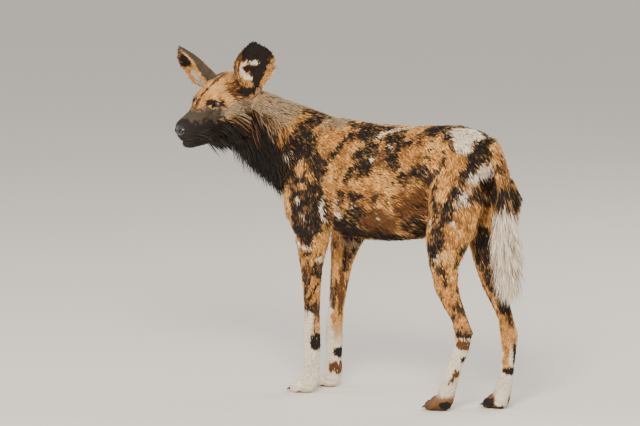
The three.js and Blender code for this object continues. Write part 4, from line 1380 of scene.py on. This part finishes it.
@dataclass(frozen=True)
class Eye:
    """An eye and its lids. "side" is 1 on the dog's left and -1 on its right."""

    side: int
    radius: float = EYE_RADIUS
    half_long: float = 0.0112
    upper: float = 0.0058
    lower: float = 0.0050

    @property
    def centre(self) -> Array:
        """The eyeball's middle in the dog's frame."""
        return HEAD.point(np.array(EYE_PLACE) * (1, self.side, 1))

    @property
    def axes(self) -> Array:
        """Rows: outwards from the nose, up, and along the sight, in the dog's frame."""
        a = math.radians(EYE_TURN) * self.side
        sight = HEAD.way((math.cos(a), math.sin(a), 0.03))
        out = HEAD.way((-math.sin(a) * self.side, math.cos(a) * self.side, 0))
        up = unit(HEAD.way((0, 0, 1)) - sight * (HEAD.way((0, 0, 1)) @ sight))
        return np.stack([out, up, sight])

    def opening(self, across: Array) -> tuple[Array, Array]:
        """The height of the opening above and below, along its length.

        Args:
            across: Places along the opening, in metres outwards.

        Returns:
            The upper and lower edges.
        """
        s = np.clip(across / self.half_long, -1, 1)
        slant = 0.0012 * s
        return slant + self.upper * (1 - s**2), slant - self.lower * (1 - s**2)

    def seat(self, p: Array) -> Array:
        """Fits the skin round the eyeball: clear of it in the opening and close over it elsewhere.

        Args:
            p: Skin points in the dog's frame.

        Returns:
            The moved points.
        """
        local = (p - self.centre) @ self.axes.T
        x, y, z = local.T
        flat = np.hypot(x, y)
        top, low = self.opening(x)
        near = (flat < self.radius * 1.55) & (z > -0.002)
        ball = np.sqrt(np.maximum((self.radius + 0.0011) ** 2 - flat**2, 0))
        inside = near & (np.abs(x) < self.half_long) & (y < top) & (y > low)
        lids = near & ~inside & (flat < self.radius * 1.02)
        z = np.where(inside, np.minimum(z, ball - 0.0042), z)
        z = np.where(lids, np.maximum(z, ball), z)
        return np.where(near[:, None], self.centre + np.stack([x, y, z], axis=1) @ self.axes, p)

    def build(self) -> tuple[bpy.types.Object, bpy.types.Object]:
        """Models the eyeball and the rims of its lids.

        Returns:
            The eyeball and the rims.
        """
        name = "left" if self.side > 0 else "right"
        bpy.ops.object.select_all(action="DESELECT")
        bpy.ops.mesh.primitive_uv_sphere_add(segments=56, ring_count=40, radius=self.radius)
        ball = bpy.context.object
        ball.name = ball.data.name = f"eyeball_{name}"
        flat = np.empty(len(ball.data.vertices) * 3)
        ball.data.vertices.foreach_get("co", flat)
        local = flat.reshape(-1, 3)
        off = np.hypot(local[:, 0], local[:, 1])
        front = local[:, 2] > 0
        bulge = np.where(front, np.clip(1 - (off / 0.0078) ** 2, 0, 1), 0) * 0.0011
        local[:, 2] += bulge
        set_points(ball, self.centre + local @ self.axes)
        set_facts(ball.data, {"sight": np.where(front, off * 1000, 20.0)})
        only(ball)
        bpy.ops.object.shade_smooth()
        turn = np.linspace(0, 1, 40, endpoint=False)
        across = self.half_long * np.cos(turn * 2 * math.pi)
        top, low = self.opening(across)
        height = np.where(turn < 0.5, top, low)
        depth = np.sqrt(np.maximum((self.radius + 0.0009) ** 2 - across**2 - height**2, 0.0000012))
        rim = self.centre + np.stack([across, height, depth], axis=1) @ self.axes
        lids = tube_along(f"eyelids_{name}", rim, 0.0012, True)
        return ball, lids


def tube_along(
    name: str, path: Array, radius: float, closed: bool, thin_ends: bool = False
) -> bpy.types.Object:
    """Makes a round tube along points.

    Args:
        name: The piece's name.
        path: Points in the dog's frame.
        radius: The tube's radius.
        closed: Whether the ends meet.
        thin_ends: Whether it narrows to its ends.

    Returns:
        The tube as a mesh.
    """
    curve = bpy.data.curves.new(name, "CURVE")
    curve.dimensions = "3D"
    curve.bevel_depth = radius
    curve.bevel_resolution = 3
    curve.use_fill_caps = True
    line = curve.splines.new("POLY")
    line.points.add(len(path) - 1)
    for i, (point, place) in enumerate(zip(line.points, path + SHIFT)):
        point.co = (*place, 1)
        t = i / (len(path) - 1)
        point.radius = max(0.25, math.sin(math.pi * t) ** 0.4) if thin_ends else 1.0
    line.use_cyclic_u = closed
    made = bpy.data.objects.new(name, curve)
    bpy.context.collection.objects.link(made)
    only(made)
    bpy.ops.object.convert(target="MESH")
    bpy.ops.object.shade_smooth()
    return bpy.context.object


def base_tone(p: Array) -> Array:
    """How pale the coat is within its colour, before chance."""
    return 0.5 + 0.24 * value_noise(p, 0.034, 30) + 0.20 * value_noise(p, 0.011, 31)


@dataclass(frozen=True)
class Roots:
    """Where tufts stand and what the coat does there."""

    place: Array
    normal: Array
    field: Field


@dataclass(frozen=True)
class Tufts:
    """One piece of coat: closed, flat, tapered tufts of three sides.

    "shown" is the place along a tuft, 0 to 1, where the markings set its colour.
    """

    name: str
    segments: int = 2
    thickness: float = 0.34
    shown: float = 0.45

    def build(
        self, roots: Roots, length: Array, width: Array, lift: Array, droop: Array, rng: np.random.Generator
    ) -> bpy.types.Object:
        """Grows a tuft at each root along the lie of the coat.

        Args:
            roots: The roots.
            length: Each tuft's length.
            width: Each tuft's width.
            lift: Degrees that each root stands off the skin.
            droop: How much each tip hangs.
            rng: The source of chance.

        Returns:
            The coat piece, with its OFBake map.
        """
        p, n, f = roots.place, unit(roots.normal), roots.field
        count, rings = len(p), self.segments
        side = np.cross(n, f.lie)
        swirl = 0.15 * value_noise(p, 0.040, 21) + 0.12 * value_noise(p, 0.012, 22)
        swirl = swirl + rng.normal(0, 0.10, count)
        lie = f.lie + side * swirl[:, None]
        lie = unit(lie - n * np.sum(lie * n, axis=1, keepdims=True))
        side = unit(np.cross(n, lie))
        centre = p - n * 0.0009
        shape = [0.75, 1.0, 0.82, 0.5][:rings]
        rows = []
        for s in range(rings + 1):
            t = s / rings
            angle = np.radians(lift * (1.25 - 1.05 * t))
            way = lie * np.cos(angle)[:, None] + n * np.sin(angle)[:, None]
            way = unit(way + np.array([0.0, 0.0, -1.0]) * (droop * (0.25 + t))[:, None])
            if s == rings:
                rows.append(centre[:, None])
                break
            over = unit(n - way * np.sum(way * n, axis=1, keepdims=True))
            half = (width * shape[s] / 2)[:, None]
            top = over * (width * shape[s] * self.thickness)[:, None]
            rows.append(np.stack([centre - side * half, centre + side * half, centre + top], axis=1))
            centre = centre + way * (length / rings)[:, None]
        points = np.concatenate(rows, axis=1)
        points[..., 2] = np.maximum(points[..., 2], 0.0)
        size = points.shape[1]
        tris = [(0, 2, 1)]
        for s in range(rings - 1):
            a, b = s * 3, s * 3 + 3
            for k in range(3):
                c, d = (k + 1) % 3, k
                tris += [(a + d, a + c, b + c), (a + d, b + c, b + d)]
        last = (rings - 1) * 3
        tris += [(last + k, last + (k + 1) % 3, size - 1) for k in range(3)]
        faces = np.array(tris)[None] + np.arange(count)[:, None, None] * size
        stray = np.where(rng.random(count) < 0.06, 4.5, 1.0) * np.clip(f.length / 0.017, 0.3, 1.0)
        shown = p + lie * (length * self.shown)[:, None]
        marks = MARKINGS.weights(shown + rng.normal(0, 0.0024, p.shape) * stray[:, None], f.ground)
        tone = base_tone(p) + rng.normal(0, 0.16, count)
        tip = np.append(np.repeat(np.arange(rings) / rings, 3), 1.0)
        made = mesh_object(
            self.name,
            points.reshape(-1, 3),
            faces.reshape(-1, 3),
            {
                "marks": np.repeat(marks, size, axis=0),
                "tone": np.repeat(np.clip(tone, 0, 1), size),
                "tip": np.tile(tip, count),
            },
        )
        self.unwrap(made, roots, np.append(np.tile([-1.0, 1.0, 0.0], rings), 0.0), tip)
        LOG.info("%s: %d tufts, %d triangles", self.name, count, len(faces) * len(tris))
        return made

    def unwrap(self, made: bpy.types.Object, roots: Roots, across: Array, along: Array) -> None:
        """Maps each tuft to a small patch at its root's place on the skin's unwrap.

        The unwrap gives every stretch of the body a cell, with the place along the stretch one way and
        the turn about it the other.

        Args:
            made: The coat piece.
            roots: The tufts' roots.
            across: Each vertex's place across its tuft, -1 to 1.
            along: Each vertex's place along its tuft, 0 to 1.
        """
        columns = 6
        bone, place = roots.field.bone, roots.place
        start = np.array([b.start for b in BONES])[bone]
        axis = unit(np.array([np.subtract(b.end, b.start) for b in BONES]))[bone]
        up = np.where(np.abs(axis[:, 2:3]) > 0.8, np.array([[1.0, 0, 0]]), np.array([[0, 0, 1.0]]))
        first = unit(np.cross(up, axis))
        second = np.cross(axis, first)
        off = place - start
        turn = np.arctan2(np.sum(off * second, axis=1), np.sum(off * first, axis=1)) / (2 * math.pi) + 0.5
        u = (bone % columns + 0.04 + 0.92 * roots.field.along) / columns
        v = (bone // columns + 0.04 + 0.92 * turn) / columns
        uv = np.stack([u, v], axis=1)[:, None] + 0.0015 * np.stack([across, 2 * along - 1], axis=1)[None]
        loops = np.empty(len(made.data.loops), dtype=np.int64)
        made.data.loops.foreach_get("vertex_index", loops)
        layer = made.data.uv_layers.new(name="OFBake")
        layer.data.foreach_set("uv", uv.reshape(-1, 2)[loops].astype(np.float32).ravel())


RUFF = [
    (-0.142, -0.005, 0.618, 0.048),
    (-0.186, -0.008, 0.642, 0.068),
    (-0.226, -0.016, 0.662, 0.088),
    (-0.258, -0.034, 0.678, 0.102),
    (-0.284, -0.064, 0.690, 0.098),
    (-0.300, -0.104, 0.682, 0.080),
    (-0.305, -0.138, 0.668, 0.052),
]


class Coat:
    """All the hair, in pieces by part of the body."""

    PIECES = {
        "coat_chest": ("torso_a",),
        "coat_ribs": ("torso_b",),
        "coat_loin": ("torso_c",),
        "coat_neck": ("neck",),
        "coat_head": ("head",),
        "coat_ears": ("ears",),
        "coat_fore_left": ("fore_left",),
        "coat_fore_right": ("fore_right",),
        "coat_hind_left": ("hind_left",),
        "coat_hind_right": ("hind_right",),
        "coat_tail": ("tail",),
    }

    def __init__(self, skin: bpy.types.Object) -> None:
        """Reads the skin.

        Args:
            skin: The finished skin.
        """
        self.rng = np.random.default_rng(SEED + 1)
        self.points, self.normals = points_of(skin), normals_of(skin)
        verts = np.empty(len(skin.data.polygons) * 3, dtype=np.int64)
        skin.data.polygons.foreach_get("vertices", verts)
        self.tris = verts.reshape(-1, 3)
        corner = self.points[self.tris]
        self.middle = corner.mean(axis=1)
        first, second = corner[:, 1] - corner[:, 0], corner[:, 2] - corner[:, 0]
        self.area = np.linalg.norm(np.cross(first, second), axis=1) / 2
        self.face_field = field_at(self.middle)
        groups = np.array([b.group for b in BONES])
        self.group = groups[self.face_field.bone]
        self.bare = self.bare_skin()

    def bare_skin(self) -> Array:
        """Finds the faces where no hair grows: in the eyes, on the nose and on the soles.

        Returns:
            True for each bare face.
        """
        bare = (self.middle[:, 2] < 0.004) & (self.normals[self.tris].mean(axis=1)[:, 2] < -0.3)
        for side in (1, -1):
            eye = Eye(side)
            x, y, z = ((self.middle - eye.centre) @ eye.axes.T).T
            top, low = eye.opening(x)
            beside = (y < top + 0.0016) & (y > low - 0.0016) & (np.hypot(x, y) < 0.02) & (z > -0.004)
            bare |= (np.abs(x) < eye.half_long * 1.12) & beside
            bare |= np.linalg.norm(self.middle - eye.centre, axis=1) < eye.radius
        nose = Patch("nose", BLACK, (186, 0, -26), (17, 20, 15), on_head=True)
        return bare | (nose.reach(self.middle) < 1)

    def sample(self, density: Array) -> Roots:
        """Draws roots on the skin.

        Args:
            density: Tufts per square metre on each face.

        Returns:
            The roots.
        """
        load = np.cumsum(self.area * np.where(self.bare, 0, density))
        count = int(load[-1])
        pick = (np.arange(count) + self.rng.random(count)) * load[-1] / count
        face = np.minimum(np.searchsorted(load, pick), len(load) - 1)
        a, b = self.rng.random(count), self.rng.random(count)
        flip = a + b > 1
        a[flip], b[flip] = 1 - a[flip], 1 - b[flip]
        share = np.stack([1 - a - b, a, b], axis=1)[..., None]
        place = (self.points[self.tris[face]] * share).sum(axis=1)
        normal = unit((self.normals[self.tris[face]] * share).sum(axis=1))
        made = field_at(place)
        lie = made.lie - normal * np.sum(made.lie * normal, axis=1, keepdims=True)
        made = Field(**{**made.__dict__, "lie": unit(lie)})
        return Roots(place, normal, made)

    def short(self) -> list[bpy.types.Object]:
        """Grows the body's coat.

        Returns:
            The pieces.
        """
        out = []
        for name, groups in self.PIECES.items():
            here = np.isin(self.group, groups)
            roots = self.sample(np.where(here, self.face_field.density, 0))
            f, count = roots.field, len(roots.place)
            length = f.length * self.rng.uniform(0.72, 1.22, count)
            width = f.width * self.rng.uniform(0.8, 1.2, count)
            lift = f.lift * self.rng.uniform(0.6, 1.3, count)
            out.append(Tufts(name).build(roots, length, width, lift, f.droop, self.rng))
        return out

    def ruff(self) -> bpy.types.Object:
        """Grows the long hair under the neck and throat.

        Returns:
            The ruff.
        """
        normal = self.normals[self.tris].mean(axis=1)
        q = (self.middle - np.array((-0.235, -0.05, 0.60))) / np.array((0.125, 0.125, 0.095))
        reach = smooth((1.1 - np.linalg.norm(q, axis=1)) / 0.35)
        under = smooth((normal @ unit(np.array((-0.35, -0.3, -0.85))) + 0.25) / 0.4)
        clear = ~np.isin(self.group, ("fore_left", "fore_right", "ears"))
        roots = self.sample(1.15e5 * reach * under * clear)
        line = np.array(RUFF)
        gap = np.linalg.norm(roots.place[:, None] - line[None, :, :3], axis=2)
        share = 1 / gap**4
        length = (share * line[None, :, 3]).sum(axis=1) / share.sum(axis=1)
        count = len(length)
        length = length * self.rng.uniform(0.55, 1.05, count)
        width = self.rng.uniform(0.0028, 0.0042, count)
        lift = self.rng.uniform(20, 48, count)
        return Tufts("coat_ruff", 4, 0.3).build(roots, length, width, lift, np.full(count, 0.75), self.rng)

    def plume(self) -> bpy.types.Object:
        """Grows the long hair of the tail.

        Returns:
            The plume.
        """
        drop = smooth((0.60 - self.middle[:, 2]) / 0.10)
        roots = self.sample(2.9e5 * drop * (self.group == "tail"))
        count = len(roots.place)
        low = smooth((0.58 - roots.place[:, 2]) / 0.14)
        length = (0.036 + 0.050 * low) * self.rng.uniform(0.7, 1.1, count)
        width = self.rng.uniform(0.0026, 0.0040, count)
        lift = self.rng.uniform(8, 34, count) * (0.7 + 0.3 * low)
        return Tufts("coat_plume", 4, 0.3).build(roots, length, width, lift, np.full(count, 0.1), self.rng)


class Claws:
    """The claws of the four paws."""

    FEET = ((-0.045, -0.058, 4), (-0.072, 0.056, -4), (0.406, -0.060, 4), (0.482, 0.060, -4))

    def build(self) -> bpy.types.Object:
        """Models sixteen short, blunt claws.

        Returns:
            The claws as one piece.
        """
        made = []
        for x, y, yaw in self.FEET:
            for toe in range(4):
                spread = toe - 1.5
                ahead = 0.078 * (0.6 if abs(spread) < 1 else 0.46) + 0.012
                a = math.radians(180 + yaw)
                out = np.array((math.cos(a), math.sin(a), 0))
                across = np.array((-math.sin(a), math.cos(a), 0))
                root = np.array((x, y, 0.0095)) + out * (ahead + 0.001) - across * spread * 0.0155
                way = unit(out - across * spread * 0.12 + np.array((0, 0, -0.42)))
                bpy.ops.object.select_all(action="DESELECT")
                bpy.ops.mesh.primitive_cone_add(vertices=14, radius1=0.0034, radius2=0.0009, depth=0.017)
                claw = bpy.context.object
                claw.rotation_mode = "QUATERNION"
                claw.rotation_quaternion = Vector(way).to_track_quat("Z", "Y")
                claw.location = Vector(root + SHIFT)
                made.append(claw)
        for claw in made:
            claw.select_set(True)
        bpy.context.view_layer.objects.active = made[0]
        bpy.ops.object.transform_apply(location=True, rotation=True, scale=True)
        claws = join(made, "claws")
        apply(claws, "BEVEL", width=0.0006, segments=2)
        bpy.ops.object.shade_smooth_by_angle(angle=math.radians(40))
        return claws


def build_nose() -> bpy.types.Object:
    """Rounds a copy of the nose solid and its nostrils.

    Returns:
        The nose.
    """
    nose = solid_copy("nose_pad", "nose")
    nose.data.materials.clear()
    apply(nose, "REMESH", mode="VOXEL", voxel_size=0.0008, use_smooth_shade=True)
    apply(nose, "SMOOTH", factor=0.5, iterations=3)
    return nose


def build_whiskers() -> bpy.types.Object:
    """Models the long stiff hairs of the muzzle as thin tapered tubes.

    Returns:
        The whiskers as one piece.
    """
    rng = np.random.default_rng(SEED + 5)
    made = []
    for side in (1, -1):
        for k in range(13):
            root = np.array((168 - 7 * (k % 4), (24 + (k % 4) * 1.6) * side, -34 - 5 * (k // 4)), float)
            way = unit(np.array((-0.35 + rng.normal(0, 0.15), side * 1.0, -0.30 + rng.normal(0, 0.15))))
            long = rng.uniform(18, 34)
            path = [root + way * long * t + np.array((-8, 0, -7)) * t * t for t in np.linspace(0, 1, 7)]
            made.append(tube_along(f"whisker_{side}_{k}", HEAD.point(np.array(path)), 0.00028, False, True))
    return join(made, "whiskers")


class Nodes:
    """Builds a node tree piece by piece."""

    def __init__(self, tree: bpy.types.NodeTree) -> None:
        """Takes the tree."""
        self.tree = tree

    def add(self, kind: str, ins: dict | None = None, **facts: object) -> bpy.types.Node:
        """Adds a node, sets its facts and fills its sockets.

        Args:
            kind: The node's type.
            ins: Values or sockets by input name or number.
            facts: The node's own properties.

        Returns:
            The node.
        """
        node = self.tree.nodes.new(kind)
        for key, value in facts.items():
            setattr(node, key, value)
        for key, value in (ins or {}).items():
            if isinstance(value, bpy.types.NodeSocket):
                self.link(value, node.inputs[key])
            else:
                node.inputs[key].default_value = value
        return node

    def link(self, start: bpy.types.NodeSocket, end: bpy.types.NodeSocket) -> None:
        """Joins an output to an input."""
        self.tree.links.new(start, end)

    def mix(self, factor: object, a: object, b: object) -> bpy.types.NodeSocket:
        """Mixes two colours."""
        return self.add("ShaderNodeMix", {0: factor, 6: a, 7: b}, data_type="RGBA").outputs[2]

    def sum(self, kind: str, a: object, b: object) -> bpy.types.NodeSocket:
        """Does one sum."""
        return self.add("ShaderNodeMath", {0: a, 1: b}, operation=kind).outputs[0]


def new_finish(name: str) -> tuple[bpy.types.Material, Nodes, bpy.types.bpy_prop_collection]:
    """Starts a material.

    Args:
        name: Its name.

    Returns:
        The material, its nodes and the sockets of its shader.
    """
    made = bpy.data.materials.new(name)
    made.use_nodes = True
    return made, Nodes(made.node_tree), made.node_tree.nodes["Principled BSDF"].inputs


def set_stops(ramp: bpy.types.Node, stops: tuple | list) -> None:
    """Sets a colour ramp's stops.

    Args:
        ramp: The ramp's node.
        stops: Places from 0 to 1 with their colours.
    """
    for i, (at, colour) in enumerate(stops):
        stop = ramp.color_ramp.elements[i] if i < 2 else ramp.color_ramp.elements.new(at)
        stop.position, stop.color = at, colour


@dataclass(frozen=True)
class CoatPalette:
    """The coat's colours, linear."""

    tans: tuple[tuple[float, Colour], ...] = (
        (0.10, (0.34, 0.14, 0.040, 1)),
        (0.48, (0.66, 0.30, 0.066, 1)),
        (0.90, (0.84, 0.53, 0.22, 1)),
    )
    black: Colour = (0.016, 0.011, 0.009, 1)
    white: Colour = (0.86, 0.77, 0.64, 1)
    brown: Colour = (0.150, 0.058, 0.018, 1)
    grey: Colour = (0.36, 0.27, 0.175, 1)

    def group(self) -> bpy.types.NodeTree:
        """Makes the node group that turns colour shares into a colour.

        Returns:
            The group.
        """
        tree = bpy.data.node_groups.get("coat_colour")
        if tree:
            return tree
        tree = bpy.data.node_groups.new("coat_colour", "ShaderNodeTree")
        tree.interface.new_socket(name="Marks", in_out="INPUT", socket_type="NodeSocketColor")
        for name in ("Grey", "Tone", "Tip"):
            tree.interface.new_socket(name=name, in_out="INPUT", socket_type="NodeSocketFloat")
        tree.interface.new_socket(name="Colour", in_out="OUTPUT", socket_type="NodeSocketColor")
        n = Nodes(tree)
        ins = n.add("NodeGroupInput").outputs
        marks = n.add("ShaderNodeSeparateColor", {0: ins["Marks"]}).outputs
        ramp = n.add("ShaderNodeValToRGB", {0: ins["Tone"]})
        set_stops(ramp, self.tans)
        colour = n.mix(ins["Grey"], ramp.outputs[0], self.grey)
        colour = n.mix(marks[2], colour, self.brown)
        colour = n.mix(marks[1], colour, self.white)
        colour = n.mix(marks[0], colour, self.black)
        light = n.sum("ADD", n.sum("MULTIPLY", ins["Tone"], 0.40), 0.80)
        light = n.sum("MULTIPLY", light, n.sum("ADD", n.sum("MULTIPLY", ins["Tip"], 0.30), 0.82))
        shaded = n.add("ShaderNodeVectorMath", {0: colour, 3: light}, operation="SCALE").outputs[0]
        n.add("NodeGroupOutput", {0: shaded})
        return tree


@dataclass(frozen=True)
class HairFinish:
    """The finish of the hair, or of the skin under it where "on_skin" is true."""

    name: str
    roughness: float = 0.62
    on_skin: bool = False

    def material(self) -> bpy.types.Material:
        """Makes the material.

        Returns:
            The material.
        """
        made, n, shader = new_finish(self.name)
        marks = n.add("ShaderNodeAttribute", attribute_name="marks").outputs
        group = n.add("ShaderNodeGroup", node_tree=CoatPalette().group())
        n.link(marks["Color"], group.inputs["Marks"])
        n.link(marks["Alpha"], group.inputs["Grey"])
        for key in ("Tone", "Tip"):
            fact = n.add("ShaderNodeAttribute", attribute_name=key.lower()).outputs["Fac"]
            n.link(fact, group.inputs[key])
        n.link(group.outputs[0], shader["Base Color"])
        shader["Roughness"].default_value = self.roughness
        shader["Specular IOR Level"].default_value = 0.3
        if self.on_skin:
            place = n.add("ShaderNodeTexCoord").outputs["Object"]
            grain = n.add("ShaderNodeTexNoise", {"Vector": place, "Scale": 420.0, "Detail": 3.0}).outputs[0]
            bump = n.add("ShaderNodeBump", {"Height": grain, "Strength": 0.5, "Distance": 0.0012})
            n.link(bump.outputs[0], shader["Normal"])
        return made


@dataclass(frozen=True)
class PlainFinish:
    """A finish of one colour, with a fine grain where "pebble" is over nought."""

    name: str
    colour: Colour
    roughness: float
    coat: float = 0.0
    pebble: float = 0.0

    def material(self) -> bpy.types.Material:
        """Makes the material.

        Returns:
            The material.
        """
        made, n, shader = new_finish(self.name)
        shader["Base Color"].default_value = self.colour
        shader["Roughness"].default_value = self.roughness
        shader["Coat Weight"].default_value = self.coat
        if self.pebble:
            place = n.add("ShaderNodeTexCoord").outputs["Object"]
            cells = n.add("ShaderNodeTexVoronoi", {"Vector": place, "Scale": 900.0}).outputs["Distance"]
            ins = {"Height": cells, "Strength": self.pebble, "Distance": 0.0006}
            bump = n.add("ShaderNodeBump", ins, invert=True)
            n.link(bump.outputs[0], shader["Normal"])
        return made


@dataclass(frozen=True)
class EyeFinish:
    """A dark pupil in a red-brown iris under a glassy cornea."""

    name: str = "eye_glass"

    def material(self) -> bpy.types.Material:
        """Makes the material.

        Returns:
            The material.
        """
        made, n, shader = new_finish(self.name)
        off = n.add("ShaderNodeAttribute", attribute_name="sight").outputs["Fac"]
        ramp = n.add("ShaderNodeValToRGB", {0: n.sum("DIVIDE", off, 10.0)})
        stops = [
            (0.0, (0.004, 0.003, 0.003, 1)),
            (0.24, (0.004, 0.003, 0.003, 1)),
            (0.29, (0.09, 0.030, 0.010, 1)),
            (0.50, (0.17, 0.060, 0.016, 1)),
            (0.60, (0.05, 0.018, 0.008, 1)),
            (0.68, (0.010, 0.007, 0.006, 1)),
            (0.80, (0.045, 0.025, 0.018, 1)),
        ]
        set_stops(ramp, stops)
        n.link(ramp.outputs[0], shader["Base Color"])
        shader["Roughness"].default_value = 0.25
        shader["Coat Weight"].default_value = 0.4
        shader["Coat Roughness"].default_value = 0.05
        return made


class Stage:
    """Floor, lights and camera, in metres."""

    distance, sensor, aim_height = 15.0, 36.0, 0.45

    def lamp(self, name: str, spot: Place, size: float, power: float, colour: Place) -> None:
        """Hangs a soft square lamp that points at the dog.

        Args:
            name: Its name.
            spot: Where it hangs.
            size: Its side.
            power: Its power in watts.
            colour: Its colour.
        """
        light = bpy.data.lights.new(name, "AREA")
        light.size, light.energy, light.color = size, power, colour
        made = bpy.data.objects.new(name, light)
        made.location = spot
        aim = Vector((0, 0, self.aim_height)) - Vector(spot)
        made.rotation_euler = aim.to_track_quat("-Z", "Y").to_euler()
        bpy.context.collection.objects.link(made)

    def build(self) -> None:
        """Lays the floor, hangs the lamps and sets the camera at the photograph's angle."""
        bpy.ops.object.select_all(action="DESELECT")
        bpy.ops.mesh.primitive_plane_add(size=90)
        floor = bpy.context.object
        floor.name = "floor"
        floor.data.materials.append(PlainFinish("floor_pale", (0.80, 0.76, 0.70, 1), 0.9).material())
        self.lamp("key", (2.6, -3.0, 2.7), 1.1, 260, (1.0, 0.90, 0.74))
        self.lamp("fill", (-3.4, -2.6, 1.8), 3.0, 90, (0.94, 0.97, 1.0))
        self.lamp("back", (0.5, 4.0, 3.2), 3.0, 120, (1.0, 0.97, 0.92))
        world = bpy.data.worlds.new("room")
        world.use_nodes = True
        world.node_tree.nodes["Background"].inputs[0].default_value = (1.0, 0.975, 0.94, 1)
        world.node_tree.nodes["Background"].inputs[1].default_value = 0.72
        bpy.context.scene.world = world
        right, up, back = VIEW.axes
        middle = (np.array(VIEW.size) / 2 - VIEW.origin) / VIEW.scale
        target = right * middle[0] - up * middle[1] + SHIFT
        data = bpy.data.cameras.new("camera")
        data.sensor_width = self.sensor
        data.lens = VIEW.scale * self.distance / VIEW.size[0] * self.sensor
        data.clip_start, data.clip_end = 0.5, 200
        camera = bpy.data.objects.new("camera", data)
        camera.location = Vector(target + back * self.distance)
        camera.rotation_euler = Vector(-back).to_track_quat("-Z", "Y").to_euler()
        bpy.context.collection.objects.link(camera)
        bpy.context.scene.camera = camera


def place(made: bpy.types.Object, slot: str, material: bpy.types.Material, *nodes: str) -> None:
    """Finishes a piece, hangs it under the root and hides the solids it stands for.

    Args:
        made: The piece.
        slot: Not used.
        material: Its material.
        nodes: The solids it stands for.
    """
    made.data.materials.clear()
    made.data.materials.append(material)
    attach(made, "root")
    if nodes:
        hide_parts(*nodes)
    LOG.info("%s is placed", made.name)


def main() -> None:
    """Builds the dog and its stage."""
    Stage().build()
    skin = Skin().build()
    p = points_of(skin)
    marks = MARKINGS.weights(p, field_at(p).ground)
    set_facts(skin.data, {"marks": marks, "tone": base_tone(p), "tip": np.full(len(p), 0.2)})
    hair = HairFinish("coat_hair").material()
    coat = Coat(skin)
    hide = HairFinish("skin_under_coat", 0.8, True).material()
    place(skin, "coat_tan", hide, *FLESH, "head", "neck", "tail")
    for piece in coat.short() + [coat.ruff(), coat.plume()]:
        place(piece, "coat_tan", hair)
    lid = PlainFinish("lid_skin", (0.012, 0.009, 0.008, 1), 0.45).material()
    glass = EyeFinish().material()
    for side, name in ((1, "eye_left"), (-1, "eye_right")):
        ball, lids = Eye(side).build()
        place(ball, "eye", glass, name)
        place(lids, "nose", lid)
    lip = LIP + [(x, -y, z) for x, y, z in LIP[-2::-1]]
    line = spline(np.array(lip, float), 4)
    line[:, 0] -= 0.6
    place(tube_along("lips", HEAD.point(line * np.array((1, 0.985, 1))), 0.0013, False, True), "nose", lid)
    nose_skin = PlainFinish("nose_skin", (0.014, 0.012, 0.011, 1), 0.42, 0.35, 0.5).material()
    place(build_nose(), "nose", nose_skin, "nose_pad")
    place(Claws().build(), "nose", PlainFinish("claw_horn", (0.05, 0.035, 0.028, 1), 0.4).material())
    place(build_whiskers(), "nose", PlainFinish("whisker_hair", (0.02, 0.015, 0.012, 1), 0.5).material())


if __name__ == "__main__":
    main()
